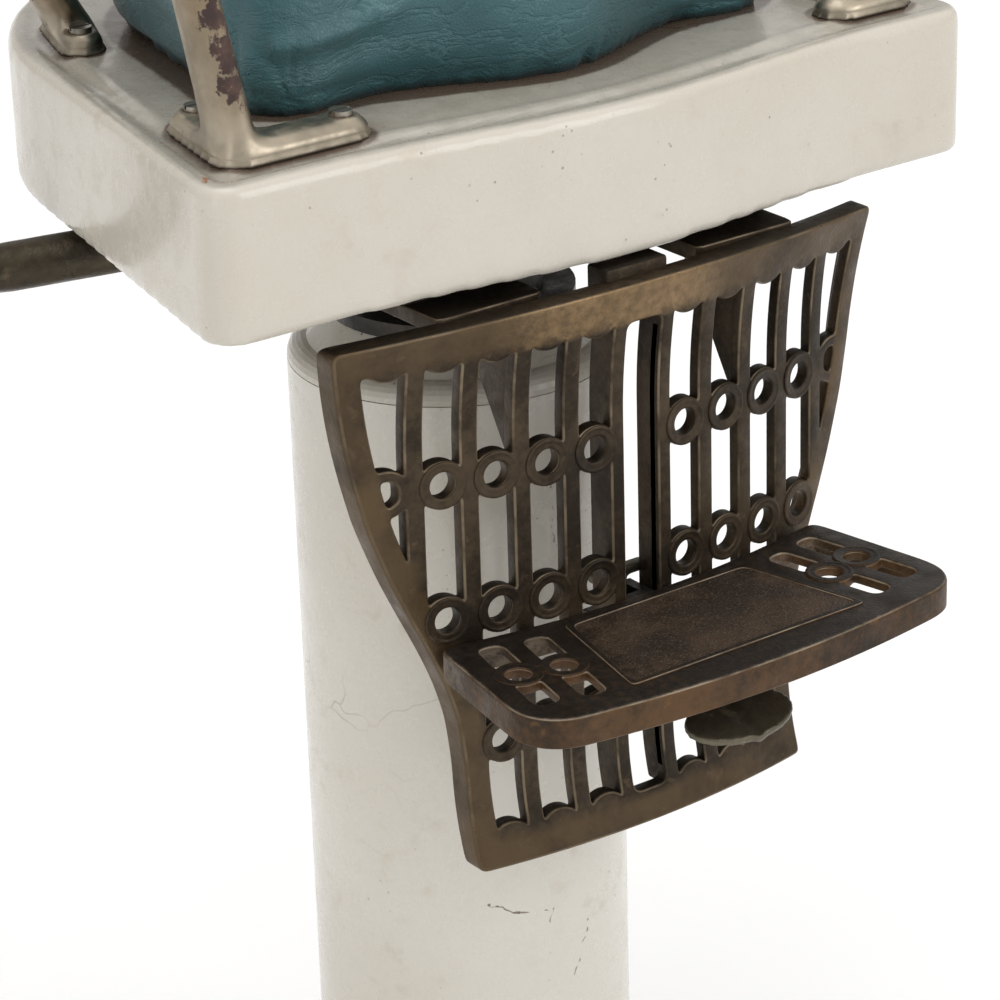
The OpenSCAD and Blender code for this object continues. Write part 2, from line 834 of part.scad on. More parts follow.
module cover_screws() {
    color("dimgray") on_circle(cover_screw_count, cover_screw_pcr, 60)
        translate([0, 0, hub_top + cover_t]) slot_screw(cover_screw_r, cover_t + cover_screw_depth - gap);
}

// Pump lever, its pin and the pump rod

lever_bar_len = lever_reach - nose_len;
hook_n = 8;
hook_points = [for (i = [0 : hook_n]) let (a = hook_angle * i / hook_n)
    [lever_bar_len + hook_r * sin(a), hook_r * (1 - cos(a))]];
hook_end = hook_points[hook_n];
hook_rings = concat(
    [for (i = [0 : hook_n]) let (a = hook_angle * i / hook_n)
        lever_ring(hook_points[i], a, lever_r)],
    [for (i = [1 : grip_n]) let (t = i / grip_n)
        lever_ring([hook_end[0] + grip_len * t * cos(hook_angle),
            hook_end[1] + grip_len * t * sin(hook_angle)], hook_angle,
            lever_r * (1 + grip_swell_share * sin(180 * t)) * (t == 1 ? grip_tip_share : 1))]);

function lever_ring(place, a, r) = [for (j = [0 : lever_sides - 1]) let (b = 360 * j / lever_sides)
    [place[0] - r * cos(b) * sin(a), -r * sin(b), place[1] + r * cos(b) * cos(a)]];

module pump_lever() {
    color("dimgray") at_lever() difference() {
        union() {
            rotate([90, 0, 0]) translate([0, 0, -lever_eye_w / 2])
                cylinder(r = lever_eye_r, h = lever_eye_w);
            translate([-nose_len + fork_back, -nose_w / 2, -nose_h])
                cube([nose_len - fork_back, nose_w, 2 * nose_h]);
            translate([-nose_len, -fork_half, -nose_arm_h])
                cube([fork_back + fork_wall, 2 * fork_half, 2 * nose_arm_h]);
            translate([-nose_len, fork_half, 0]) rotate([90, 0, 0])
                cylinder(r = nose_r, h = 2 * fork_half);
            rotate([0, lever_droop, 0]) {
                rotate([0, 90, 0]) {
                    cylinder(r = lever_eye_w / 2 - gap, h = 2 * neck_len);
                    translate([0, 0, neck_len]) cylinder(r = lever_r, h = lever_bar_len - neck_len);
                }
                loft(hook_rings);
            }
        }
        rotate([90, 0, 0]) translate([0, 0, -lever_eye_w])
            cylinder(r = lever_pin_r + run_fit, h = 2 * lever_eye_w);
        translate([-nose_len - fork_back, -fork_in, -2 * nose_h])
            cube([2 * fork_back, 2 * fork_in, 4 * nose_h]);
    }
}

module lever_pin() {
    len = 2 * (cheek_in + cheek_t);
    color("silver") at_lever() rotate([90, 0, 0]) {
        translate([0, 0, -len / 2]) cylinder(r = lever_pin_r, h = len);
        translate([0, 0, len / 2]) cylinder(r = lever_pin_r * head_r_share, h = lever_pin_r / 2);
    }
}

module pump_rod() {
    color("lightsteelblue") {
        translate([0, 0, plunger_z]) cylinder(r = pump_rod_r, h = rod_top - plunger_z);
        translate([0, 0, plunger_z]) cylinder(r = pump_bore_r - run_fit, h = plunger_h);
        for (z = [pivot_z - nose_r - nose_gap - rod_collar_t, pivot_z + nose_r + nose_gap])
            translate([0, 0, z]) cylinder(r = rod_collar_r, h = rod_collar_t);
    }
}

// Seat frame, board and cushion

module frame_layer(inset, z, h) {
    translate([seat_shift, 0, z]) linear_extrude(height = h) polygon(frame_plan(inset));
}

module seat_frame() {
    body_h = apron_h - edge_round;
    color("ivory") difference() {
        union() {
            difference() {
                union() {
                    frame_layer(0, seat_bottom_z, body_h);
                    for (i = [0 : edge_steps - 1]) let (a = 90 * (i + 1) / (edge_steps + 1))
                        frame_layer(edge_round * (1 - cos(a)), seat_bottom_z + body_h - cut,
                            edge_round * sin(90 * (i + 1) / edge_steps) + cut);
                }
                frame_layer(seat_wall, seat_bottom_z - cut, apron_h - seat_wall + cut);
            }
            for (place = boss_places) translate([place[0], place[1], hub_top])
                cylinder(r = boss_r, h = ledge_z - hub_top - seat_wall / 2);
        }
        frame_layer(ledge_w, seat_bottom_z, 2 * apron_h);
        for (place = boss_places) translate([place[0], place[1], hub_top - cut])
            cylinder(r = spider_bolt_r + bolt_gap, h = spider_bolt_depth + bolt_gap + cut);
        translate([seat_shift, 0, 0]) {
            arm_screw_places() translate([0, 0, ledge_z - 2 * seat_wall])
                cylinder(r = arm_screw_r + bolt_gap, h = 3 * seat_wall);
            bracket_bolt_places() translate([0, 0, ledge_z - 2 * seat_wall])
                cylinder(r = bracket_bolt_r + bolt_gap, h = 3 * seat_wall);
        }
    }
}

module seat_board() {
    color("burlywood") frame_layer(ledge_w + board_gap, ledge_z - board_t, board_t);
}

top_inset = -cushion_bulge * cushion_out_shares[len(cushion_out_shares) - 1];
cushion_rings = concat(
    [for (i = [0 : len(cushion_z_shares) - 1])
        lifted(cushion_plan(-cushion_bulge * cushion_out_shares[i]), cushion_h * cushion_z_shares[i])],
    [for (i = [0 : len(crown_in_shares) - 1])
        lifted(shrunk(cushion_plan(top_inset), (cushion_back - cushion_front) / 2, crown_in_shares[i]),
            cushion_h + cushion_crown * crown_up_shares[i])]);

module seat_cushion() {
    color("teal") translate([seat_shift, 0, ledge_z + cushion_gap]) loft(cushion_rings);
}

// Arms: an L-shaped front foot, a post that sweeps up and back, a level rail and a rear foot.
// They are drawn on the sitter's left and mirrored, with a front foot of their own length each.

function rim_place(y, inset) = let (k = seat_side - inset,
    by = (seat_back - inset - k) / (1 - sin(seat_taper)), rb = k - by * sin(seat_taper),
    on_side = y < by + rb * sin(seat_taper))
    [on_side ? side_x(y, k) : sqrt(rb * rb - pow(y - by, 2)), y,
        on_side ? seat_taper : asin((y - by) / rb)];

arm_front = seat_front - arm_front_inset;
front_place = rim_place(-arm_front, arm_inset);
rear_place = rim_place(arm_rear, arm_inset);
rear_half = (rear_foot_len - rear_foot_w) / 2;
arm_lean_angle = atan(2 * arm_lean * arm_bend_share / arm_h);
arm_bend_r = arm_h * (1 - arm_bend_share) / (1 - sin(arm_lean_angle));
bend_y = post_back - arm_front + arm_lean * pow(arm_bend_share, 2) + arm_bend_r * cos(arm_lean_angle);
rear_bend_y = arm_rear - rear_bend_r;
arm_path = concat(
    [for (i = [0 : arm_n]) let (t = arm_bend_share * i / arm_n)
        [post_back - arm_front + arm_lean * t * t, arm_h * t]],
    [for (i = [1 : arm_n]) let (a = arm_lean_angle + (90 - arm_lean_angle) * i / arm_n)
        [bend_y - arm_bend_r * cos(a), arm_h - arm_bend_r * (1 - sin(a))]],
    [for (i = [1 : 2]) [bend_y + (rear_bend_y - bend_y) * i / 3, arm_h]],
    [for (i = [0 : arm_n]) let (a = 90 * i / arm_n)
        [rear_bend_y + rear_bend_r * sin(a), arm_h - rear_bend_r * (1 - cos(a))]],
    [for (i = [1 : arm_n]) [arm_rear, (arm_h - rear_bend_r) * (1 - i / arm_n)]]);

function arm_x(p) = let (t = min(1, p[1] / arm_h), low = p[0] < (bend_y + rear_bend_y) / 2
    ? front_place[0] : rear_place[0]) low + (arm_half - low) * sin(90 * t);
arm_points = [for (p = arm_path) [arm_x(p), p[0], p[1] + ledge_z + arm_foot_t / 2]];

function unit(v) = v / norm(v);
function sweep_ring(points, i, half_u, half_v, count) = let (last = len(points) - 1,
    t = unit(points[min(i + 1, last)] - points[max(i - 1, 0)]),
    u = unit([1, 0, 0] - t * t[0]), v = cross(t, u))
    [for (j = [0 : count - 1]) let (a = 360 * j / count)
        points[i] + u * half_u * cos(a) + v * half_v * sin(a)];
// The post flares out where it meets its feet
function arm_flare(i) = let (h = arm_points[i][2] - ledge_z)
    1 + post_flare_share * pow(max(0, 1 - h / (4 * arm_foot_t)), 2);
// The section grows lower towards the rail
function arm_depth(i) = let (t = min(1, (arm_points[i][2] - ledge_z) / arm_h))
    arm_wide / 2 + (rail_half - arm_wide / 2) * t * t;
arm_rings = [for (i = [0 : len(arm_points) - 1])
    sweep_ring(arm_points, i, arm_thick / 2 * arm_flare(i), arm_depth(i), arm_sides)];

function screw_spots(foot_len) = [
    [front_place[0] - foot_len + arm_foot_w, -arm_front],
    [front_place[0] - (arm_foot_side_len - arm_foot_w) * sin(seat_taper),
        -arm_front + (arm_foot_side_len - arm_foot_w) * cos(seat_taper)],
    for (s = [-1, 1]) [rear_place[0] - s * rear_half * sin(rear_place[2]),
        arm_rear + s * rear_half * cos(rear_place[2])]];

module at_spots(foot_len) {
    for (spot = screw_spots(foot_len)) translate([spot[0], spot[1], 0]) children();
}

module arm_screw_places() {
    at_spots(foot_len_left) children();
    mirror([1, 0, 0]) at_spots(foot_len_right) children();
}

module stadium(len, w) {
    polygon(concat(arc(0, 0, w / 2, 90, 270, foot_n), arc(len, 0, w / 2, -90, 90, foot_n)));
}

module front_foot(len, w, h) {
    linear_extrude(height = h) {
        rotate(180) stadium(len, w);
        rotate(90 + seat_taper) stadium(arm_foot_side_len - arm_foot_w, w);
    }
}

module arm(foot_len) {
    color("silver") difference() {
        union() {
            translate([front_place[0], -arm_front, ledge_z]) {
                front_foot(foot_len - arm_foot_w, arm_foot_w, arm_foot_t * foot_step_share);
                front_foot(foot_len - arm_foot_w, arm_foot_w * foot_top_share, arm_foot_t);
            }
            translate([rear_place[0], arm_rear, ledge_z]) rotate([0, 0, 90 + rear_place[2]])
                translate([-rear_half, 0, 0]) {
                    linear_extrude(height = arm_foot_t * foot_step_share) stadium(2 * rear_half, rear_foot_w);
                    linear_extrude(height = arm_foot_t) stadium(2 * rear_half, rear_foot_w * foot_top_share);
                }
            loft(arm_rings);
            translate([arm_half, pad_y, pad_shoe_z - pad_shoe_t]) linear_extrude(height = pad_shoe_t)
                polygon(round_rect(pad_shoe_w / 2, pad_len / 2 - pad_shoe_w / 4, pad_shoe_w / 2, 6));
        }
        at_spots(foot_len) {
            translate([0, 0, ledge_z - cut])
                cylinder(r = arm_screw_r + bolt_gap, h = 2 * arm_foot_t);
            translate([0, 0, ledge_z + arm_foot_t - screw_sink])
                cylinder(r = arm_screw_r * head_r_share + bolt_gap, h = arm_foot_t);
        }
        pad_screw_places() translate([0, 0, pad_shoe_z - arm_wide])
            cylinder(r = pad_screw_r + bolt_gap, h = 2 * arm_wide);
    }
}

pad_y = (bend_y + rear_bend_y) / 2;
pad_shoe_z = ledge_z + arm_foot_t / 2 + arm_h + rail_half + pad_shoe_t / 2;
pad_screw_drop = 2 * rail_half - pad_shoe_t / 2;
pad_screw_dy = pad_len / 2 - pad_shoe_w;

module pad_screw_places() {
    for (dy = [-pad_screw_dy, pad_screw_dy]) translate([arm_half, pad_y + dy, 0]) children();
}

module left_arm() { translate([seat_shift, 0, 0]) arm(foot_len_left); }
module right_arm() { translate([seat_shift, 0, 0]) mirror([1, 0, 0]) arm(foot_len_right); }

module arm_screws() {
    color("gray") translate([seat_shift, 0, 0]) arm_screw_places()
        translate([0, 0, ledge_z + arm_foot_t - screw_sink])
            slot_screw(arm_screw_r, arm_foot_t - screw_sink + seat_wall);
}

pad_z_shares = [0, 0.12, 0.4, 0.7, 0.9, 1];
pad_in_shares = [0.1, 0.02, 0, 0.06, 0.3, 0.62];
pad_rings = [for (i = [0 : len(pad_z_shares) - 1])
    let (inset = pad_half_w * pad_in_shares[i])
    lifted(round_rect(pad_half_w - inset, pad_len / 2 - inset, (pad_half_w - inset) * pad_corner_share, 5),
        pad_h * pad_z_shares[i])];

module arm_pad() {
    color("teal") difference() {
        translate([arm_half, pad_y, pad_shoe_z]) loft(pad_rings);
        pad_screw_places() translate([0, 0, pad_shoe_z - cut])
            cylinder(r = pad_screw_r + bolt_gap, h = pad_h / 2 + cut + bolt_gap);
    }
}

module left_arm_pad() { translate([seat_shift, 0, 0]) arm_pad(); }
module right_arm_pad() { translate([seat_shift, 0, 0]) mirror([1, 0, 0]) arm_pad(); }

module pad_screws() {
    color("gray") translate([seat_shift, 0, 0]) for (side = [0, 1]) mirror([side, 0, 0])
        pad_screw_places() translate([0, 0, pad_shoe_z - pad_shoe_t - pad_screw_drop])
            rotate([180, 0, 0]) slot_screw(pad_screw_r, pad_shoe_t + pad_screw_drop + pad_h / 2);
}

// Back: a bracket on the ledge, a hinge bolt, a frame with a spine and two bars, board and cushion

hinge_y = seat_back - bracket_inset;
hinge_z = ledge_z + hinge_h;

// Frame of the back: the hinge is at the origin and z runs up the leaning spine
module at_back() {
    translate([seat_shift, hinge_y, hinge_z]) rotate([-back_lean, 0, 0]) children();
}

module bracket_bolt_places() {
    for (side = [-1, 1]) translate([side * bracket_bolt_x, hinge_y, 0]) children();
}

cheek_x = spine_half + gap;
bracket_half = cheek_x + bracket_cheek_t + bracket_tab;
bracket_bolt_x = bracket_half - bracket_tab / 2;

module back_bracket() {
    color("silver") translate([seat_shift, 0, 0]) difference() {
        union() {
            translate([-bracket_half, hinge_y - bracket_len / 2, ledge_z])
                cube([2 * bracket_half, bracket_len, bracket_t]);
            for (x = [-cheek_x - bracket_cheek_t, cheek_x]) translate([x, hinge_y, ledge_z]) {
                translate([0, -bracket_len / 2, 0]) cube([bracket_cheek_t, bracket_len, hinge_h]);
                translate([0, 0, hinge_h]) rotate([0, 90, 0])
                    cylinder(r = bracket_len / 2, h = bracket_cheek_t);
            }
        }
        translate([0, hinge_y, hinge_z]) rod_x(hinge_bolt_r + bolt_gap, 4 * bracket_half);
        bracket_bolt_places() translate([0, 0, ledge_z - cut])
            cylinder(r = bracket_bolt_r + bolt_gap, h = bracket_t + 2 * cut);
    }
}

module bracket_bolts() {
    color("gray") translate([seat_shift, 0, 0]) bracket_bolt_places()
        translate([0, 0, ledge_z + bracket_t]) slot_screw(bracket_bolt_r, bracket_t + seat_wall);
}

module back_hinge_bolt() {
    half = cheek_x + bracket_cheek_t;
    color("silver") translate([seat_shift, hinge_y, hinge_z]) {
        rod_x(hinge_bolt_r, 2 * half);
        for (x = [-half - hinge_bolt_r, half]) translate([x, 0, 0]) rotate([0, 90, 0])
            cylinder(r = hinge_bolt_r * head_r_share, h = hinge_bolt_r);
    }
}

bar_heights = [back_base + bar_inset, back_base + back_h - bar_inset];
socket_top = back_base + back_h - socket_down;
board_screw_x = bar_half - bar_h / 2;

module board_screw_places() {
    for (z = bar_heights) for (side = [-1, 1])
        translate([side * board_screw_x, spine_t / 2, z]) rotate([-90, 0, 0]) children();
}

module back_frame() {
    color("silver") at_back() difference() {
        union() {
            rod_x(hinge_eye_r, 2 * spine_half);
            translate([-spine_half, -spine_t / 2, 0])
                cube([2 * spine_half, spine_t, bar_heights[1]]);
            for (z = bar_heights) {
                translate([-board_screw_x, -spine_t / 2, z - bar_h / 2])
                    cube([2 * board_screw_x, spine_t, bar_h]);
                for (side = [-1, 1]) translate([side * board_screw_x, -spine_t / 2, z])
                    rod_y(bar_h / 2, spine_t);
            }
            translate([0, stem_y, socket_top - socket_len]) cylinder(r = socket_r, h = socket_len);
            translate([-socket_r, 0, socket_top - socket_len])
                cube([2 * socket_r, stem_y, socket_len]);
        }
        rod_x(hinge_bolt_r + run_fit, 4 * spine_half);
        translate([0, stem_y, socket_top - socket_len - cut])
            cylinder(r = stem_r + run_fit, h = socket_len + 2 * cut);
        translate([0, stem_y, thumb_z]) rod_y(thumb_r + run_fit, 2 * socket_r);
        board_screw_places() translate([0, 0, -2 * spine_t])
            cylinder(r = screw_small_r + bolt_gap, h = 3 * spine_t);
    }
}

thumb_z = socket_top - socket_len / 2;

module back_panel_shape(inset, t) {
    rotate([90, 0, 0]) linear_extrude(height = t)
        polygon([for (p = round_rect(back_half - inset, back_h / 2 - inset, back_corner_r - inset, 6))
            [p[0], p[1] + back_base + back_h / 2]]);
}

module back_board() {
    color("burlywood") at_back() difference() {
        translate([0, -spine_t / 2, 0]) back_panel_shape(board_edge, back_board_t);
        board_screw_places() translate([0, 0, -3 * back_board_t])
            cylinder(r = screw_small_r + bolt_gap, h = 4 * back_board_t);
    }
}

module board_screws() {
    color("gray") at_back() board_screw_places()
        slot_screw(screw_small_r, spine_t + back_board_t - gap);
}

face_shares = [0, 0.2, 0.55, 0.8, 0.95];
face_in_shares = [0.25, 0, 0, 0.3, 1];
dome_in_shares = [0.78, 0.5, 0.22];
dome_up_shares = [0.55, 0.86, 1];

// A padded cushion whose flat back is the plane y = 0 and whose face bulges towards -y
function pad_ring(hx, hz, r, y, k) = [for (p = round_rect(hx, hz, r, 6)) [p[0] * k, -y, p[1] * k]];
function padded_rings(hx, hz, r, t, edge, dome) = concat(
    [for (i = [0 : len(face_shares) - 1]) let (inset = edge * face_in_shares[i])
        pad_ring(hx - inset, hz - inset, r - inset / 2, t * face_shares[i], 1)],
    [for (i = [0 : len(dome_in_shares) - 1])
        pad_ring(hx - edge, hz - edge, r - edge / 2, t * last_share + dome * dome_up_shares[i],
            dome_in_shares[i])]);
last_share = face_shares[len(face_shares) - 1];

module back_cushion() {
    color("teal") at_back()
        translate([0, -spine_t / 2 - back_board_t - cushion_gap, back_base + back_h / 2])
            loft(padded_rings(back_half, back_h / 2, back_corner_r, back_t, back_edge, back_dome));
}

// Headrest: a stem in the back frame's socket, a thumbscrew, a plate on a pin and a cushion

head_pin_z = back_base + back_h + head_rise;

module headrest_stem() {
    color("silver") at_back() difference() {
        union() {
            translate([0, stem_y, head_pin_z - stem_len]) cylinder(r = stem_r, h = stem_len);
            translate([0, stem_y, head_pin_z]) rod_x(head_eye_r, head_eye_w);
        }
        translate([0, stem_y, head_pin_z]) rod_x(head_pin_r + bolt_gap, 2 * head_eye_w);
    }
}

module headrest_thumbscrew() {
    start = stem_y + stem_r + gap;
    color("silver") at_back() translate([0, start, thumb_z]) {
        rod_y(thumb_r, thumb_len);
        translate([0, thumb_len, 0]) rod_y(2 * thumb_r, wing_t);
        translate([-wing_r, thumb_len, -wing_t / 2]) cube([2 * wing_r, wing_t, wing_t]);
        for (side = [-1, 1]) translate([side * wing_r, thumb_len, 0]) rod_y(wing_t, wing_t);
    }
}

module headrest_pin() {
    half = head_eye_w / 2 + gap + head_lug_w;
    color("silver") at_back() translate([0, stem_y, head_pin_z]) {
        rod_x(head_pin_r, 2 * half);
        translate([half, 0, 0]) rotate([0, 90, 0])
            cylinder(r = head_pin_r * head_r_share, h = head_pin_r / 2);
    }
}

module headrest_plate() {
    plate_y = stem_y - head_eye_r - head_plate_gap;
    color("silver") at_back() difference() {
        union() {
            translate([-head_plate_half, plate_y - head_plate_t, head_pin_z - head_h * head_plate_share / 2])
                cube([2 * head_plate_half, head_plate_t, head_h * head_plate_share]);
            for (x = [-head_eye_w / 2 - gap - head_lug_w, head_eye_w / 2 + gap])
                translate([x, plate_y - cut, head_pin_z - head_eye_r])
                    cube([head_lug_w, stem_y - plate_y + cut, 2 * head_eye_r]);
            for (x = [-head_eye_w / 2 - gap - head_lug_w, head_eye_w / 2 + gap])
                translate([x, stem_y, head_pin_z]) rotate([0, 90, 0])
                    cylinder(r = head_eye_r, h = head_lug_w);
        }
        translate([0, stem_y, head_pin_z]) rod_x(head_pin_r + run_fit, 4 * head_plate_half);
    }
}

module headrest_cushion() {
    plate_y = stem_y - head_eye_r - head_plate_gap;
    color("teal") at_back() translate([0, plate_y - head_plate_t - cushion_gap, head_pin_z])
        loft(padded_rings(head_half, head_h / 2, head_corner_r, head_t, head_edge, head_dome));
}

// Footrest panel: a curved, pierced casting with rings, guide ribs, gussets and lugs.
// Heights here are measured from the seam.

module at_seam() { translate([0, 0, seam_z]) children(); }

side_table = [for (i = [0 : len(side_z_shares) - 1])
    [tongue_h - panel_drop + side_z_shares[i] * (panel_top + panel_drop - tongue_h),
        panel_tongue_half + side_x_shares[i] * (panel_top_half - panel_tongue_half)]];

function crown_z(x) = panel_top + panel_crown * (1 - pow(x / panel_top_half, 2));
function panel_plan(inset) = let (
    right = concat([[panel_tongue_half - inset, inset - panel_drop]],
        [for (row = side_table) [row[1] - inset, min(row[0], panel_top - inset)]]),
    half = panel_top_half - inset)
    concat(right,
        [for (i = [1 : crown_n - 1]) let (x = half * (1 - 2 * i / crown_n)) [x, crown_z(x) - inset]],
        [for (i = [len(right) - 1 : -1 : 0]) [-right[i][0], right[i][1]]]);

function panel_y(x) = x * x / (2 * panel_r) - panel_front;
high_z = panel_top + panel_crown;
panel_face = concat(
    [for (i = [flare_n : -1 : 1]) let (u = i / flare_n)
        [panel_r + panel_flare * u * u, -flare_low - (panel_drop - flare_low) * u]],
    [[panel_r, -flare_low], [panel_r, flare_high]],
    [for (i = [1 : flare_n]) let (u = i / flare_n)
        [panel_r + panel_flare * u * u, flare_high + (high_z - flare_high) * u]]);

module face_shell(front, back) {
    translate([0, panel_r - panel_front, 0]) rotate_extrude($fn = 240)
        polygon(concat([for (p = panel_face) [p[0] - front, p[1]]],
            [for (i = [len(panel_face) - 1 : -1 : 0]) [panel_face[i][0] - back, panel_face[i][1]]]));
}

// A shape drawn in x and z, cut through the panel
module through_panel() {
    rotate([90, 0, 0]) linear_extrude(height = 2 * panel_front) children();
}

ring_places = [for (side = [-1, 1]) for (k = [1 : columns]) for (row = [0 : 2])
    if (row == 0 || (row == 1 && k < columns) || (row == 2 && k <= low_columns))
        [side * k * ring_pitch, -row_one - row * row_pitch]];
scallop_places = [for (side = [-1, 1]) for (k = [1 : columns])
    each k <= low_columns
        ? [[side * k * ring_pitch, top_ring_z], [side * k * ring_pitch, -low_ring_z]]
        : [[side * k * ring_pitch, top_ring_z]]];

function window_low(k) = k <= low_columns ? -window_bottom : -row_one - row_pitch;

module window_shapes() {
    window_w = ring_pitch - bar_w;
    difference() {
        intersection() {
            polygon(panel_plan(frame_w));
            union() {
                for (side = [-1, 1]) for (k = [1 : columns])
                    translate([side * k * ring_pitch - window_w / 2, window_low(k)])
                        square([window_w, window_top - window_low(k)]);
                for (side = [-1, 1]) translate([side > 0 ? columns * ring_pitch : -panel_top_half, 0])
                    square([panel_top_half - columns * ring_pitch, window_top]);
            }
        }
        for (place = concat(ring_places, scallop_places)) translate(place) circle(r = ring_r);
    }
    intersection() {
        polygon(panel_plan(frame_w));
        for (side = [-1, 1]) translate([side * columns * ring_pitch, -row_one]) circle(r = ring_hole_r);
    }
    translate([-slot_half, -window_bottom]) square([2 * slot_half, window_bottom + window_top]);
}

module ring_holes() {
    for (place = ring_places) if (abs(place[0]) < columns * ring_pitch)
        translate([place[0], 0, place[1]]) rotate([90, 0, 0]) cylinder(r = ring_hole_r, h = 2 * panel_front);
}

module ring_rims() {
    for (place = ring_places) if (abs(place[0]) < columns * ring_pitch)
        translate([place[0], panel_y(place[0]), place[1]])
            rotate([0, 0, asin(place[0] / panel_r)]) rotate([90, 0, 0])
                translate([0, 0, -panel_t / 2])
                    cylinder(r = ring_r - rim_inset, h = panel_t / 2 + ring_proud);
}

lug_z = panel_top + lug_top_rise;
rib_back = panel_t + rib_depth - panel_front;
rib_tall = window_bottom + rib_tail + lug_z - lug_t / 2 + rib_rise;
gusset_x = (low_columns - 0.5) * ring_pitch;
gusset_y = panel_y(gusset_x) + panel_t / 2;
lug_start = panel_y(lug_mid) + (panel_t - panel_flare) / 2;

module footrest_panel() {
    color("sienna") at_seam() difference() {
        union() {
            difference() {
                intersection() {
                    face_shell(0, panel_edge);
                    through_panel() polygon(panel_plan(0));
                }
                intersection() {
                    face_shell(panel_t, 2 * panel_edge);
                    through_panel() polygon(panel_plan(edge_t));
                }
                through_panel() window_shapes();
            }
            ring_rims();
            translate([-slot_half, panel_t / 2 - panel_front, rib_tall - window_bottom - rib_tail - rib_head])
                cube([2 * slot_half, rib_depth + panel_t / 2, rib_head]);
            for (side = [-1, 1]) {
                translate([side > 0 ? slot_half : -slot_half - rib_t, panel_t / 2 - panel_front,
                    -window_bottom - rib_tail])
                    cube([rib_t, rib_depth + panel_t / 2, rib_tall]);
                translate([side > 0 ? lug_in : -lug_out, lug_start, lug_z - lug_t])
                    cube([lug_out - lug_in, -lug_start - pad_y_in, lug_t]);
                translate([side * gusset_x - gusset_t / 2, 0, 0])
                    rotate([90, 0, 90]) linear_extrude(height = gusset_t) polygon([
                        [gusset_y - panel_flare, lug_z - lug_t / 2],
                        [gusset_y + gusset_depth, lug_z - lug_t / 2],
                        [gusset_y + panel_t / 2, lug_z - lug_t / 2 - gusset_h],
                        [gusset_y, lug_z - lug_t / 2 - gusset_h], [gusset_y, flare_high]]);
            }
        }
        ring_holes();
        for (side = [-1, 1]) for (dx = [-panel_bolt_x, panel_bolt_x])
            translate([side * lug_mid + dx, panel_bolt_y, lug_z - 2 * lug_t])
                cylinder(r = panel_bolt_r + bolt_gap, h = 3 * lug_t);
    }
}

module panel_bolts() {
    color("dimgray") at_seam() for (side = [-1, 1]) for (dx = [-panel_bolt_x, panel_bolt_x])
        translate([side * lug_mid + dx, panel_bolt_y, lug_z - lug_t]) rotate([180, 0, 0])
            hex_bolt(panel_bolt_r, lug_t + panel_bolt_depth - gap);
}

// Step, its guide shoe and its latch

function step_back_y(x) = panel_y(x) - ring_proud - step_gap;
// The outline is laid out from the step's front, and its back follows the panel
function step_plan(inset, over = 0) = let (side = step_side - inset, r = step_corner_r - inset,
    depth = step_front + step_back_y(step_side), xb = (side - depth * sin(step_taper)) / cos(step_taper),
    outline = concat(arched_front(side, step_taper, -inset, step_bow, r),
        front_corner(side, step_taper, -inset, r, 1),
        [for (i = [0 : crown_n]) let (x = xb * (1 - 2 * i / crown_n))
            [x, step_back_y(x) + over + step_front]],
        front_corner(side, step_taper, -inset, r, -1)))
    [for (p = outline) [p[0], p[1] - step_front]];

step_rings = [[step_column_in, -step_ring_y], [step_column_out, step_ring_step - step_ring_y]];

module step_slots() {
    for (side = [-1, 1]) for (place = step_rings)
        translate([side * place[0], place[1], -step_drop - skirt_h]) {
            rotate([0, 0, side * step_slot_lean]) for (end = [-1, 1])
                translate([-step_slot_w / 2, end > 0 ? step_slot_gap : -step_slot_gap - step_slot_len, 0])
                    cube([step_slot_w, step_slot_len, 2 * skirt_h]);
            cylinder(r = ring_hole_r, h = 2 * skirt_h);
        }
}

shoe_front = -panel_front - ring_proud - step_gap;
shoe_top = step_drop + shoe_down;
shoe_screw_z = step_drop + step_t + web_h / 2;

module shoe_screw_places() {
    for (side = [-1, 1]) translate([side * shoe_screw_x, shoe_front - web_t, -shoe_screw_z])
        rotate([90, 0, 0]) children();
}

module footplate() {
    color("saddlebrown") at_seam() difference() {
        union() {
            translate([0, 0, -step_drop - step_t]) linear_extrude(height = step_t) polygon(step_plan(0));
            difference() {
                translate([0, 0, -step_drop - skirt_h]) linear_extrude(height = skirt_h - step_t / 2)
                    polygon(step_plan(0));
                translate([0, 0, -step_drop - skirt_h - cut]) linear_extrude(height = 2 * skirt_h)
                    polygon(step_plan(skirt_t, skirt_t));
            }
            translate([0, 0, -step_drop]) linear_extrude(height = plaque_rim_h) difference() {
                polygon(plaque_plan(0));
                polygon(plaque_plan(plaque_rim));
            }
            translate([-web_half, shoe_front - web_t, -step_drop - step_t - web_h])
                cube([2 * web_half, web_t, web_h + step_t / 2]);
        }
        step_slots();
        shoe_screw_places() translate([0, 0, -2 * web_t])
            cylinder(r = shoe_screw_r + bolt_gap, h = 3 * web_t);
    }
}

function plaque_plan(inset) = [[inset - plaque_half_front, inset - plaque_front],
    [plaque_half_front - inset, inset - plaque_front], [plaque_half - inset, -plaque_back - inset],
    [inset - plaque_half, -plaque_back - inset]];

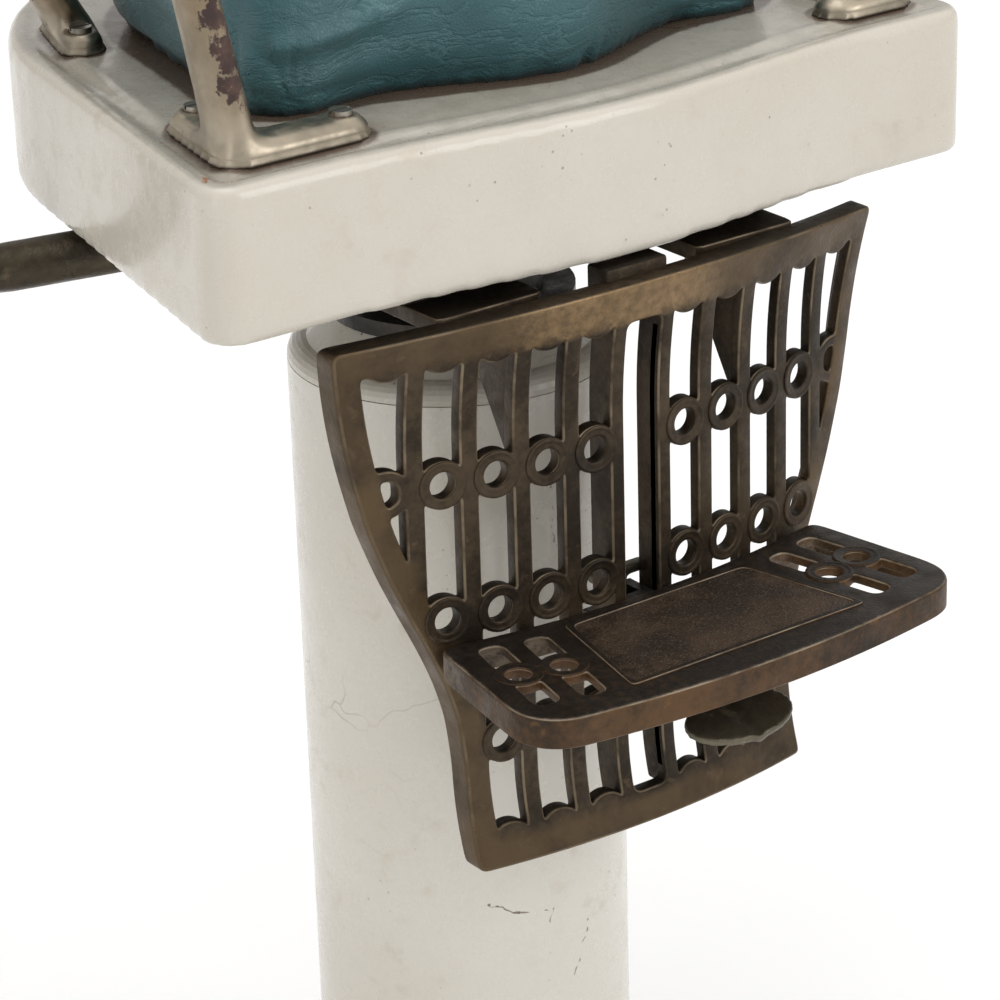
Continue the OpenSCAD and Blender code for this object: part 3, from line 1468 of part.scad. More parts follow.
module guide_shoe() {
    half = slot_half - shoe_gap;
    latch_room = latch_w / 2 + gap;
    color("dimgray") at_seam() difference() {
        union() {
            translate([-half, shoe_front, -shoe_top - shoe_h])
                cube([2 * half, rib_back + shoe_gap + wing_thick - shoe_front, shoe_h]);
            for (z = [-shoe_top - shoe_h, -shoe_top - wing_down - wing_h])
                translate([-wing_half, rib_back + shoe_gap, z]) cube([2 * wing_half, wing_thick, wing_h]);
        }
        translate([-latch_room, shoe_front + shoe_nose, -shoe_top - 2 * shoe_h])
            cube([2 * latch_room, panel_front, 3 * shoe_h]);
        translate([-latch_room, shoe_front - cut, -shoe_top - 2 * shoe_h])
            cube([2 * latch_room, panel_front, 2 * shoe_h - shoe_head_h]);
        translate([0, latch_pin_y, -latch_pin_drop]) rod_x(latch_pin_r + bolt_gap, 4 * half);
        shoe_screw_places() translate([0, 0, -web_t - shoe_screw_depth - bolt_gap])
            cylinder(r = shoe_screw_r + bolt_gap, h = web_t + shoe_screw_depth);
    }
}

module shoe_screws() {
    color("gray") at_seam() shoe_screw_places() slot_screw(shoe_screw_r, web_t + shoe_screw_depth);
}

module latch_pin() {
    color("silver") at_seam() translate([0, latch_pin_y, -latch_pin_drop])
        rod_x(latch_pin_r, 2 * (slot_half - shoe_gap));
}

latch_pin_y = rib_back - latch_pin_in;
latch_head_y = rib_back + shoe_gap;

module latch_lever() {
    half = latch_bar_t / 2;
    color("peru") at_seam() difference() {
        union() {
            translate([0, latch_pin_y, -latch_pin_drop]) rod_x(latch_eye_r, latch_w);
            translate([-latch_w / 2, 0, 0]) rotate([90, 0, 90]) linear_extrude(height = latch_w) {
                polygon([[latch_pin_y, half - latch_pin_drop], [latch_pin_y, -half - latch_pin_drop],
                    [-tab_y, -half - tab_drop], [-tab_y, half - tab_drop]]);
                polygon([[latch_pin_y, -half - latch_pin_drop],
                    [latch_head_y + latch_head_d, -half - latch_pin_drop],
                    [latch_head_y + latch_head_d, latch_head_rise - latch_pin_drop],
                    [latch_head_y, latch_head_rise - latch_pin_drop],
                    [latch_head_y, half - latch_pin_drop], [latch_pin_y, half - latch_pin_drop]]);
            }
            translate([-latch_head_half, latch_head_y, latch_head_rise - latch_pin_drop])
                cube([2 * latch_head_half, latch_head_d, latch_head_h]);
            translate([0, -tab_y, -tab_drop]) rotate([tab_tilt, 0, 0]) translate([0, 0, -tab_t / 2])
                linear_extrude(height = tab_t) polygon([for (i = [0 : 2 * crown_n - 1])
                    let (a = 180 * i / crown_n) [tab_half * cos(a), tab_wide * sin(a)]]);
        }
        translate([0, latch_pin_y, -latch_pin_drop]) rod_x(latch_pin_r + run_fit, 4 * latch_w);
    }
}

module latch_spring() {
    slope = (tab_drop - latch_pin_drop) / (tab_y + latch_pin_y);
    low = latch_bar_t / 2 + gap - latch_pin_drop - slope * (spring_y - spring_r + latch_pin_y);
    high = -step_drop - step_t;
    color("gray") at_seam() translate([0, -spring_y, low]) ring(spring_r, spring_r - spring_wire, high - low);
}

floor_foot();
column();
column_bolts();
oil_cylinder();
cylinder_bolt();
guide_gland();
gland_screws();
ram();
piston();
piston_cup();
lower_race();
bearing_balls();
upper_race();
column_cap();
cap_screws();
seat_spider();
spider_bolts();
hub_cover();
cover_screws();
pump_lever();
lever_pin();
pump_rod();
seat_frame();
seat_board();
seat_cushion();
left_arm();
right_arm();
arm_screws();
left_arm_pad();
right_arm_pad();
pad_screws();
back_bracket();
bracket_bolts();
back_hinge_bolt();
back_frame();
back_board();
board_screws();
back_cushion();
headrest_stem();
headrest_thumbscrew();
headrest_pin();
headrest_plate();
headrest_cushion();
footrest_panel();
panel_bolts();
footplate();
guide_shoe();
shoe_screws();
latch_lever();
latch_pin();
latch_spring();
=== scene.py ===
# %% [markdown]
# A child's pedestal barber chair, dressed for the picture. The exact solids come in first as a fixed frame,
# in metres, and every piece below is laid over them. Lengths in this script are written in millimetres, as
# a pattern maker writes them, and turned into metres by one helper.
# %% Load the frame
import json
import math

import bmesh
import bpy
import numpy as np
from mathutils import Matrix, Vector, geometry, noise
from mathutils.bvhtree import BVHTree


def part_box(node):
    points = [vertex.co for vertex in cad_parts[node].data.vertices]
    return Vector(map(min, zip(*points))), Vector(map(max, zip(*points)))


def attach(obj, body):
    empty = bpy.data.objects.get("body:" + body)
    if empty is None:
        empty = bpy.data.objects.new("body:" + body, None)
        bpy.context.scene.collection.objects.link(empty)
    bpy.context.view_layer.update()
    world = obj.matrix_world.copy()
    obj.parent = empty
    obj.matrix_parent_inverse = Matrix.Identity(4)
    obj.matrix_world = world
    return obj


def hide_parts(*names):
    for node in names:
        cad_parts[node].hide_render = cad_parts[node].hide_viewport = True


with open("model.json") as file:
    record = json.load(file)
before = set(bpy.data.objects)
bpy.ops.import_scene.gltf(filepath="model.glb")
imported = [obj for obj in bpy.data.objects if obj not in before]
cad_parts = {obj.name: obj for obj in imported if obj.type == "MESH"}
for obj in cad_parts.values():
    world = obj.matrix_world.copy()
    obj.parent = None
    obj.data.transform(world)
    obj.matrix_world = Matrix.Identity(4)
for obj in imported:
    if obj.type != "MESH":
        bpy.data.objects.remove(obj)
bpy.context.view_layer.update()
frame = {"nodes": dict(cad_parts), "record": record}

SEAM = 520.0  # height of the column's seam above the floor
print("nodes in the frame:", len(frame["nodes"]))
# %% [markdown]
# The photograph looks down on the chair from the sitter's right front. Its camera was worked out from the
# column's edges, the seam and the grid of rings: 23 degrees down, 36 degrees round, with a long lens.
# %% Camera
def look_axes(turn, down, roll):
    """The camera's right, up and backward directions for three angles in degrees."""
    a, e, r = (math.radians(v) for v in (turn, down, roll))
    back = Vector((math.sin(a) * math.cos(e), -math.cos(a) * math.cos(e), math.sin(e)))
    flat = Vector((math.cos(a), math.sin(a), 0))
    up = back.cross(flat)
    return flat * math.cos(r) + up * math.sin(r), up * math.cos(r) - flat * math.sin(r), back


right, up, back = look_axes(-35.884, 23.06, -1.7534)
distance, aside, above = 1867.84, -23.61, 76.395
eye = back * distance - right * aside - up * above + Vector((0, 0, SEAM))
lens = bpy.data.cameras.new("camera")
lens.lens, lens.sensor_width, lens.clip_start = 135.10, 36.0, 0.05
camera = bpy.data.objects.new("camera", lens)
camera.matrix_world = Matrix((
    (right.x, up.x, back.x, eye.x / 1000), (right.y, up.y, back.y, eye.y / 1000),
    (right.z, up.z, back.z, eye.z / 1000), (0, 0, 0, 1)))
bpy.context.scene.collection.objects.link(camera)
bpy.context.scene.camera = camera
print("camera at", [round(v, 3) for v in camera.location])
# %% [markdown]
# The light is a bright studio tent. A white surround, brightest overhead, fills the shadows. One broad lamp
# stands in front on the camera's right, another hangs above, and a weak one at the left keeps the column's
# dark side open.
# %% Light and floor
world = bpy.data.worlds.new("studio")
world.use_nodes = True
sky = world.node_tree
surround = sky.nodes["Background"]
surround.inputs["Color"].default_value = (1.0, 0.985, 0.96, 1)
toward = sky.nodes.new("ShaderNodeSeparateXYZ")
sky.links.new(sky.nodes.new("ShaderNodeTexCoord").outputs["Generated"], toward.inputs[0])
brighter = sky.nodes.new("ShaderNodeMapRange")
brighter.interpolation_type = "SMOOTHSTEP"
low_sky, high_sky, low_strength, high_strength = 0.1, 0.95, 0.55, 1.3
for number, value in enumerate((low_sky, high_sky, low_strength, high_strength), 1):
    brighter.inputs[number].default_value = value
sky.links.new(toward.outputs[2], brighter.inputs[0])
sky.links.new(brighter.outputs[0], surround.inputs["Strength"])
bpy.context.scene.world = world
bpy.context.scene.view_settings.view_transform = "Standard"


def soft_lamp(name, at, aim, width, height, power, tint=(1, 1, 1)):
    """An area lamp at one point in metres, turned to shine at another."""
    lamp = bpy.data.lights.new(name, "AREA")
    lamp.shape, lamp.size, lamp.size_y, lamp.energy, lamp.color = "RECTANGLE", width, height, power, tint
    stand = bpy.data.objects.new(name, lamp)
    stand.location = at
    stand.rotation_euler = (Vector(at) - Vector(aim)).to_track_quat("Z", "Y").to_euler()
    bpy.context.scene.collection.objects.link(stand)


soft_lamp("front_lamp", (0.9, -2.1, 1.5), (0, 0, 0.55), 1.3, 1.3, 14)
soft_lamp("top_lamp", (-0.5, -0.3, 2.6), (0, -0.1, 0.6), 1.4, 1.0, 7)
soft_lamp("left_lamp", (-2.4, -0.9, 1.1), (0, 0, 0.5), 0.9, 1.8, 4)

floor_mesh = bpy.data.meshes.new("studio_floor")
floor_reach = 40  # metres, so that no view sees its edge
floor_corners = [(x * floor_reach, y * floor_reach, 0) for x, y in ((-1, -1), (1, -1), (1, 1), (-1, 1))]
floor_mesh.from_pydata(floor_corners, [], [(0, 1, 2, 3)])
studio_floor = bpy.data.objects.new("studio_floor", floor_mesh)
bpy.context.scene.collection.objects.link(studio_floor)
pale = bpy.data.materials.new("pale_floor")
pale.use_nodes = True
pale_shader = pale.node_tree.nodes["Principled BSDF"]
pale_shader.inputs["Base Color"].default_value = (0.93, 0.94, 0.955, 1)
pale_shader.inputs["Roughness"].default_value = 0.8
floor_mesh.materials.append(pale)
print("three lamps and a pale floor")
# %% [markdown]
# Every finish is a small tree of nodes on Object coordinates, so a pattern stays put on the metal when a
# piece turns or rises. A little helper class keeps each recipe readable: it adds noise, cells, ramps and
# mixes, and plugs them into one Principled shader. A value that is the same all over is set on the shader
# itself.
# %% A helper for finishes
def plug(tree, value, socket):
    """Links a socket to another one, or sets it to a plain value."""
    if isinstance(value, bpy.types.NodeSocket):
        tree.links.new(value, socket)
    elif value is not None:
        socket.default_value = value


def add_node(tree, kind, settings=None, **inputs):
    """A new node. An input goes by its name, or by i and its number."""
    node = tree.nodes.new(kind)
    for word, value in (settings or {}).items():
        setattr(node, word, value)
    for word, value in inputs.items():
        by_number = word[0] == "i" and word[1:].isdigit()
        plug(tree, value, node.inputs[int(word[1:]) if by_number else word.replace("_", " ")])
    return node


def shade_of(color, factor):
    """The colour made lighter or darker."""
    return tuple(min(1.0, factor * v) for v in color)


class Finish:
    """One material being made. Its methods add nodes and give back the socket to use next."""

    def __init__(self, name, **fixed):
        self.material = bpy.data.materials.new(name)
        self.material.use_nodes = True
        self.tree = self.material.node_tree
        self.shader = self.tree.nodes["Principled BSDF"]
        for word, value in fixed.items():
            self.shader.inputs[word.replace("_", " ")].default_value = value
        self.place = self.tree.nodes.new("ShaderNodeTexCoord").outputs["Object"]

    def add(self, kind, out=0, settings=None, **inputs):
        return add_node(self.tree, "ShaderNode" + kind, settings, **inputs).outputs[out]

    def scaled(self, x, y, z, at=None):
        return self.add("Mapping", i0=at or self.place, Scale=(x, y, z))

    def noise(self, scale, detail=3.0, rough=0.55, at=None, warp=0.0):
        return self.add("TexNoise", Vector=at or self.place, Scale=scale, Detail=detail, Roughness=rough,
                        Distortion=warp)

    def cells(self, scale, at=None, edges=False, uneven=1.0):
        kind = "DISTANCE_TO_EDGE" if edges else "F1"
        return self.add("TexVoronoi", settings={"feature": kind}, Vector=at or self.place, Scale=scale,
                        Randomness=uneven)

    def pushed(self, amount, scale):
        """Coordinates shaken by noise, for lines that wander."""
        shake = self.add("TexNoise", out=1, Vector=self.place, Scale=scale, Detail=2.0)
        centred = self.add("VectorMath", settings={"operation": "SUBTRACT"}, i0=shake, i1=(0.5, 0.5, 0.5))
        small = self.add("VectorMath", settings={"operation": "SCALE"}, i0=centred, Scale=amount)
        return self.add("VectorMath", i0=self.place, i1=small)

    def fade(self, value, low, high, to_low=0.0, to_high=1.0):
        return self.add("MapRange", settings={"interpolation_type": "SMOOTHSTEP"}, i0=value, i1=low, i2=high,
                        i3=to_low, i4=to_high)

    def maths(self, word, a, b=0.5):
        return self.add("Math", settings={"operation": word}, i0=a, i1=b)

    def times(self, a, b):
        return self.maths("MULTIPLY", a, b)

    def weighed(self, a, share_a, b, share_b):
        """Two patterns added, each with its own share."""
        return self.maths("ADD", self.times(a, share_a), self.times(b, share_b))

    def mix(self, share, a, b):
        a, b = ((*v, 1) if isinstance(v, tuple) else v for v in (a, b))
        node = self.tree.nodes.new("ShaderNodeMix")
        node.data_type = "RGBA"
        for number, value in ((0, share), (6, a), (7, b)):
            plug(self.tree, value, node.inputs[number])
        return node.outputs[2]

    def part(self, axis):
        return self.add("SeparateXYZ", out="XYZ".index(axis), Vector=self.place)

    def painted(self, name):
        """A value from 0 to 1 that this script has painted on the mesh: edge wear with a painted highlight,
        or grime with painted shade near other parts.
        """
        return self.add("Attribute", out=2, settings={"attribute_name": name})

    def facing_up(self, low, high):
        """1 where the surface faces upwards, 0 below a slope."""
        return self.fade(self.add("SeparateXYZ", out=2, Vector=self.add("NewGeometry", out=1)), low, high)

    def bump(self, height, depth, strength=1.0, over=None):
        return self.add("Bump", Height=height, Distance=depth, Strength=strength, Normal=over)

    def near(self, point, reach, fuzz=None):
        """1 close to a point in millimetres, 0 beyond reach."""
        point, reach = tuple(v / 1000 for v in point), reach / 1000
        away = self.add("VectorMath", out=1, settings={"operation": "DISTANCE"}, i0=self.place, i1=point)
        if fuzz is not None:
            away = self.maths("ADD", away, self.times(fuzz, reach))
        return self.fade(away, reach * 0.45, reach, 1.0, 0.0)

    def stroke(self, start, end, width, at=None):
        """1 on a line between two points in millimetres, for a scratch or a crack."""
        start, end = Vector(start) / 1000, Vector(end) / 1000
        way = end - start
        share = tuple(way / way.length_squared)
        off = self.add("VectorMath", settings={"operation": "SUBTRACT"}, i0=at or self.place, i1=tuple(start))
        along = self.add("VectorMath", out=1, settings={"operation": "DOT_PRODUCT"}, i0=off, i1=share)
        along = self.add("Clamp", Value=along)
        foot = self.add("VectorMath", settings={"operation": "SCALE"}, i0=tuple(way), Scale=along)
        away = self.add("VectorMath", out=1, settings={"operation": "DISTANCE"}, i0=off, i1=foot)
        return self.fade(away, width / 2000, width / 1000, 1.0, 0.0)

    def done(self, color=None, roughness=None, normal=None, metallic=None):
        for word, socket in (("Base Color", color), ("Roughness", roughness), ("Normal", normal),
                             ("Metallic", metallic)):
            if socket is not None:
                self.tree.links.new(socket, self.shader.inputs[word])
        return self.material


# %% [markdown]
# Porcelain enamel is glass fused on iron. It is warm white, very glossy and slightly wavy. A century of use
# leaves black pinholes, rust where a chip bared the iron, hair-fine craze lines and a brown film near
# edges.
# %% Enamel
def enamel(name, light, dark, specks=0.5, crazed=0.5, rusted=0.5, spots=(), dust_and_shade_amount=0.0, scratches=()):
    f = Finish(name, Coat_Weight=0.25, Coat_Roughness=0.08, IOR=1.5)
    broad, fine = f.noise(5.0, 4), f.noise(70.0, 5, 0.65)
    color = f.mix(f.fade(broad, 0.32, 0.68), light, dark)
    film = f.times(f.fade(fine, 0.5, 0.78), f.fade(f.noise(14.0, 3), 0.45, 0.7))
    color = f.mix(f.times(film, 0.55), color, (0.42, 0.34, 0.25))
    # Surfaces that face up, such as the seat's ledge, turn grey: dust, and painted shade where the top gets
    # less light than the front.
    if dust_and_shade_amount:
        dust_and_top_shade = f.times(f.facing_up(0.75, 0.98), f.fade(fine, 0.25, 0.75, dust_and_shade_amount * 0.6, dust_and_shade_amount))
        color = f.mix(dust_and_top_shade, color, (0.235, 0.222, 0.190))
    lines = f.cells(17.0, f.pushed(0.03, 30.0), edges=True)
    craze = f.times(f.fade(lines, 0.0, 0.012, 1.0, 0.0), f.fade(f.noise(6.0, 2), 0.56, 0.64))
    color = f.mix(f.times(craze, crazed), color, (0.22, 0.17, 0.13))
    pins = f.times(f.fade(f.cells(150.0), 0.07, 0.13, 1.0, 0.0), f.fade(f.noise(22.0, 2), 0.54, 0.64))
    color = f.mix(f.times(pins, specks), color, (0.13, 0.085, 0.05))
    chips = f.times(f.fade(f.noise(55.0, 4, 0.6), 0.66, 0.70), f.fade(f.noise(8.0, 2), 0.58, 0.66))
    rust = f.mix(f.fade(fine, 0.4, 0.6), (0.30, 0.12, 0.05), (0.08, 0.04, 0.03))
    color = f.mix(f.times(chips, rusted), color, rust)
    # Closeness to other parts darkens the enamel brown: grime, and painted shade where the parts meet.
    dirt_and_shade = f.fade(f.maths("ADD", f.painted("grime_and_shade"), f.times(fine, 0.5)), 0.45, 1.05)
    color = f.mix(f.times(dirt_and_shade, 0.9), color, (0.075, 0.045, 0.028))
    # Each spot darkens the enamel brown round one point; on the seat's ledge they are grime and painted shade
    # round the arm feet.
    for point, reach, share in spots:
        color = f.mix(f.times(f.near(point, reach, fine), share), color, (0.16, 0.11, 0.075))
    wobbly = f.pushed(0.009, 110.0)
    for start, end, width, share in scratches:
        color = f.mix(f.times(f.stroke(start, end, width, wobbly), share), color, (0.11, 0.075, 0.05))
    rough = f.fade(fine, 0.3, 0.8, 0.16, 0.42)
    waves = f.bump(f.noise(26.0, 2), 0.0012, 0.35)
    return f.done(color, rough, f.bump(f.maths("SUBTRACT", f.noise(300.0, 3), chips), 0.00025, 0.5, waves))


# %% [markdown]
# The seat is covered in blue-green leathercloth. Its surface has a pebble grain of one to two millimetres,
# and longer stretch creases that are paler along their crests: colour polished thin by hands, with a
# painted highlight along them.
# %% Leathercloth
def leathercloth(name, deep, pale, creased=1.0):
    f = Finish(name, Sheen_Weight=0.08, Specular_IOR_Level=0.5)
    wander = f.pushed(0.012, 45.0)
    broad = f.noise(9.0, 4, 0.6)
    color = f.mix(f.fade(broad, 0.3, 0.7), deep, pale)
    long = f.noise(30.0, 4, 0.6, f.scaled(1.0, 1.0, 3.2, wander), 0.6)
    off_crest = f.maths("ABSOLUTE", f.maths("SUBTRACT", long, 0.5))
    crest = f.fade(off_crest, 0.0, 0.03, 1.0, 0.0)
    grain = f.fade(f.cells(560.0, wander, edges=True), 0.0, 0.25)
    # Crests turn paler: colour polished thin, and a painted highlight along them.
    worn = f.times(crest, f.fade(f.noise(11.0, 2), 0.42, 0.62))
    color = f.mix(f.times(worn, 0.30), color, (0.13, 0.26, 0.275))
    color = f.mix(f.times(f.fade(grain, 0.0, 0.5, 1.0, 0.0), 0.22), color, (0.020, 0.065, 0.075))
    # Closeness to the seat frame and arms darkens the cover: grime, and painted shade where they meet.
    color = f.mix(f.times(f.fade(f.painted("grime_and_shade"), 0.3, 0.9), 0.85), color, (0.012, 0.030, 0.032))
    rough = f.fade(f.weighed(broad, 0.5, grain, 0.5), 0.3, 0.9, 0.44, 0.31)
    shape = f.bump(grain, 0.00022, 0.45)
    shape = f.bump(f.fade(off_crest, 0.0, 0.08), 0.0006 * creased, 0.5, shape)
    shape = f.bump(f.noise(38.0, 2, 0.5, f.scaled(1.0, 1.0, 2.0)), 0.002 * creased, 0.4, shape)
    return f.done(color, rough, shape)


# %% [markdown]
# The arms are nickel-plated iron. Plate wears through where clothes and hands rub, and the iron below turns
# brown. The mask that bares the brown also makes it rougher and less metallic.
# %% Plated and bare metals
def plated(name, bright, worn, wear, rough, patches=(), brown=None):
    """Nickel on iron. patches are (point, reach) where it is bare, brown is a film between two heights."""
    f = Finish(name)
    broad, fine = f.noise(16.0, 5, 0.6), f.noise(160.0, 4, 0.6)
    bare = f.fade(f.weighed(broad, 0.7, fine, 0.3), wear, wear + 0.02)
    for point, reach in patches:
        bare = f.maths("MAXIMUM", bare, f.fade(f.near(point, reach, fine), 0.4, 0.6))
    tarnish = f.mix(f.fade(f.noise(34.0, 4), 0.35, 0.7), bright, shade_of(bright, 0.6))
    if brown:
        starts, full, film = brown
        upper = f.times(f.fade(f.part("Z"), starts, full), f.fade(broad, 0.35, 0.6, 0.45, 1.0))
        upper = f.times(upper, f.fade(f.part("Z"), 0.775, 0.81, 1.0, 0.3))
        tarnish = f.mix(upper, tarnish, film)
    color = f.mix(bare, tarnish, f.mix(f.fade(fine, 0.35, 0.65), worn, shade_of(worn, 2.2)))
    dull = f.fade(fine, 0.3, 0.75, rough[0], rough[1])
    dull = f.maths("ADD", dull, f.times(bare, 0.28))
    # Closeness to the ledge and screws darkens and dulls the plate: grime, and painted shade in the crevices.
    dirt_and_shade = f.fade(f.maths("ADD", f.painted("grime_and_shade"), f.times(fine, 0.4)), 0.6, 1.15)
    color = f.mix(f.times(dirt_and_shade, 0.9), color, (0.030, 0.020, 0.014))
    metal = f.fade(f.maths("MAXIMUM", bare, dirt_and_shade), 0.0, 1.0, 1.0, 0.25)
    return f.done(color, dull, f.bump(f.maths("SUBTRACT", fine, bare), 0.00012, 0.7), metal)


def cast_iron(name, dark, brown, shine=(0.34, 0.62), metallic=0.55):
    """Old iron with a dark skin, brown where the skin has gone, and fine pits."""
    f = Finish(name, Metallic=metallic)
    broad, fine = f.noise(12.0, 5, 0.62), f.noise(210.0, 4, 0.65)
    color = f.mix(f.fade(f.weighed(broad, 0.75, fine, 0.25), 0.4, 0.65), dark, brown)
    color = f.mix(f.fade(f.noise(90.0, 3), 0.62, 0.75, 0.0, 0.5), color, shade_of(brown, 2.1))
    dull = f.fade(f.noise(60.0, 4, 0.6), 0.3, 0.7, shine[0], shine[1])
    pits = 0.0004
    grit = f.bump(f.noise(620.0, 3, 0.6), pits, 0.8)
    return f.done(color, dull, f.bump(f.noise(70.0, 3), pits * 2.5, 0.45, grit))


def plain_metal(name, tint, rough=(0.2, 0.4)):
    f = Finish(name, Metallic=1.0)
    fine = f.noise(120.0, 4, 0.6)
    color = f.mix(f.fade(fine, 0.35, 0.75), tint, shade_of(tint, 0.6))
    return f.done(color, f.fade(fine, 0.3, 0.75, rough[0], rough[1]), f.bump(f.noise(400.0, 2), 0.00006, 0.5))


# %% [markdown]
# The panel and the step are the same iron, but shoes have polished their rims and edges, and the step has
# rust, dust on its top and lint behind. The lighter edges and the panel's lighter rim carry a painted
# highlight and reflection as well, and the near-black on surfaces that face up is painted shade. The polish
# follows values that are painted on the castings further down.
# %% Iron worn by shoes, with painted shade and highlights
def worn_iron(name, dark, brown, edge_wear_and_highlight, dust_and_top_shade, pits=0.0003, metallic=0.55, edge_share=0.8,
              brown_share=(0.4, 0.62), rusty=0.0, polish_and_reflection=None, fluff=None):
    """Dark iron with brown patches, rubbed bright along its rounded edges as wear and painted highlight, and
    darker on surfaces that face up, as painted shade.

    The dust and top shade is (share, colour) for surfaces that face up: painted shade, nearly black. The
    polish is the colour of a rim lightened by rubbing and a painted reflection, and fluff is where lint
    begins and is thick."""
    f = Finish(name, Metallic=metallic, Specular_IOR_Level=0.3)
    broad, fine = f.noise(14.0, 5, 0.62), f.noise(230.0, 4, 0.65)
    color = f.mix(f.fade(f.weighed(broad, 0.7, fine, 0.3), *brown_share), dark, brown)
    if rusty:
        bloom = f.times(f.fade(f.noise(26.0, 5, 0.65), 0.50, 0.66), rusty)
        color = f.mix(bloom, color, (0.115, 0.050, 0.020))
    # Rounded edges turn lighter: rubbed wear, and a painted highlight along them.
    patchy = f.fade(f.noise(38.0, 4, 0.6), 0.35, 0.62, 0.1, edge_share)
    rubbed_and_highlit = f.times(f.fade(f.painted("wear"), 0.35, 1.0), patchy)
    color = f.mix(rubbed_and_highlit, color, edge_wear_and_highlight)
    if polish_and_reflection:
        # The rim turns lighter: polish by shoes, and a painted reflection that sets the frame off from the
        # darker bars.
        on_rim = f.painted("rim")
        rail_polish_and_reflection = f.times(on_rim, f.fade(f.noise(24.0, 4, 0.6), 0.34, 0.62, 0.25, 1.0))
        color = f.mix(f.times(rail_polish_and_reflection, 0.85), color, polish_and_reflection)
        # A lighter patch in the middle of the top rail: rubbed wear and a painted highlight.
        rubbed_top_and_highlight = f.times(f.near((-15, -160, 586), 75), f.fade(fine, 0.3, 0.7, 0.35, 0.9))
        color = f.mix(f.times(rubbed_top_and_highlight, on_rim), color, shade_of(polish_and_reflection, 2.6))
    if fluff:
        felt = f.times(f.fade(f.part("Y"), fluff[0], fluff[1]), f.fade(fine, 0.30, 0.62))
        color = f.mix(f.times(felt, 0.8), color, (0.115, 0.088, 0.060))
    color = f.mix(f.fade(f.noise(120.0, 3), 0.62, 0.75, 0.0, 0.45), color, shade_of(brown, 1.9))
    # Surfaces that face up turn near-black: painted shade on the panel's top and lugs under the seat, and on
    # the step's top.
    top_dust_and_shade = f.times(f.facing_up(0.7, 0.95), f.fade(fine, 0.25, 0.6, 0.6 * dust_and_top_shade[0], dust_and_top_shade[0]))
    color = f.mix(top_dust_and_shade, color, dust_and_top_shade[1])
    dull = f.maths("SUBTRACT", f.fade(f.noise(60.0, 4, 0.6), 0.3, 0.7, 0.38, 0.62), f.times(rubbed_and_highlit, 0.14))
    if polish_and_reflection:
        dull = f.maths("SUBTRACT", dull, f.times(rail_polish_and_reflection, 0.10))
    grit = f.bump(f.noise(650.0, 3, 0.6), pits, 0.8)
    return f.done(color, dull, f.bump(f.noise(75.0, 3), pits * 2.5, 0.45, grit))


print("panel and step iron ready to mix")
# %% [markdown]
# Two finishes are hardly seen: the boards behind the cushions are plain wood, and the pump has a leather
# cup.
# %% Wood and pump leather
def board_wood(name):
    f = Finish(name)
    rings = f.noise(20.0, 5, 0.6, f.scaled(1.0, 9.0, 9.0), 1.2)
    color = f.mix(f.fade(rings, 0.3, 0.7), (0.34, 0.20, 0.10), (0.17, 0.09, 0.045))
    return f.done(color, f.fade(rings, 0.3, 0.7, 0.5, 0.7), f.bump(rings, 0.0003, 0.6))


def soft_leather(name):
    f = Finish(name)
    grain = f.fade(f.cells(400.0, edges=True), 0.0, 0.3)
    color = f.mix(f.noise(40.0, 3), (0.14, 0.07, 0.035), (0.24, 0.13, 0.07))
    return f.done(color, f.fade(grain, 0.0, 1.0, 0.75, 0.5), f.bump(grain, 0.0003, 0.6))


# %% [markdown]
# Every material slot of the record gets one finish. The marks that the picture shows at one place only,
# such as hairline cracks in the column or bare iron on the arm's post, are listed by their points in
# millimetres.
# %% Mix the finishes
cream, bone = (0.575, 0.540, 0.480), (0.515, 0.475, 0.405)
deep_blue, pale_blue = (0.013, 0.060, 0.071), (0.033, 0.108, 0.122)
column_scratches = [
    ((-41, -71, 249), (-26, -78, 242), 0.9, 0.9), ((-26, -78, 242), (-7, -82, 240), 0.7, 0.8),
    ((-7, -82, 240), (-9, -82, 232), 0.6, 0.6), ((5, -82, 196), (11, -81, 212), 0.8, 0.8),
    ((11, -81, 212), (17, -81, 224), 0.7, 0.8), ((4, -82, 514), (-3, -82, 470), 0.5, 0.6),
    ((-3, -82, 470), (-1, -82, 432), 0.5, 0.6), ((-3, -82, 470), (-14, -81, 452), 0.45, 0.55),
    ((14, -81, 500), (2, -82, 455), 0.4, 0.5), ((-60, -57, 200), (-52, -64, 150), 0.5, 0.35),
    ((60, -57, 330), (66, -50, 290), 0.6, 0.4)]
# Brown spots on the ledge round the arm feet: grime, and painted shade where the feet meet the ledge.
ledge_grime_and_shade = [
    ((-182, -102, 681), 40, 0.4), ((-170, -48, 681), 34, 0.4), ((-112, -98, 681), 34, 0.45),
    ((192, -102, 681), 44, 0.7), ((172, -50, 681), 30, 0.6), ((150, -100, 681), 30, 0.6)]
bare_iron = [
    ((-187, -113, 717), 33), ((-190, -113, 733), 36), ((-192, -112, 747), 33), ((-199, -104, 764), 30),
    ((-202, -98, 780), 28), ((196, -97, 730), 26), ((204, -97, 760), 28)]
brown_film = (0.686, 0.712, (0.20, 0.150, 0.092))
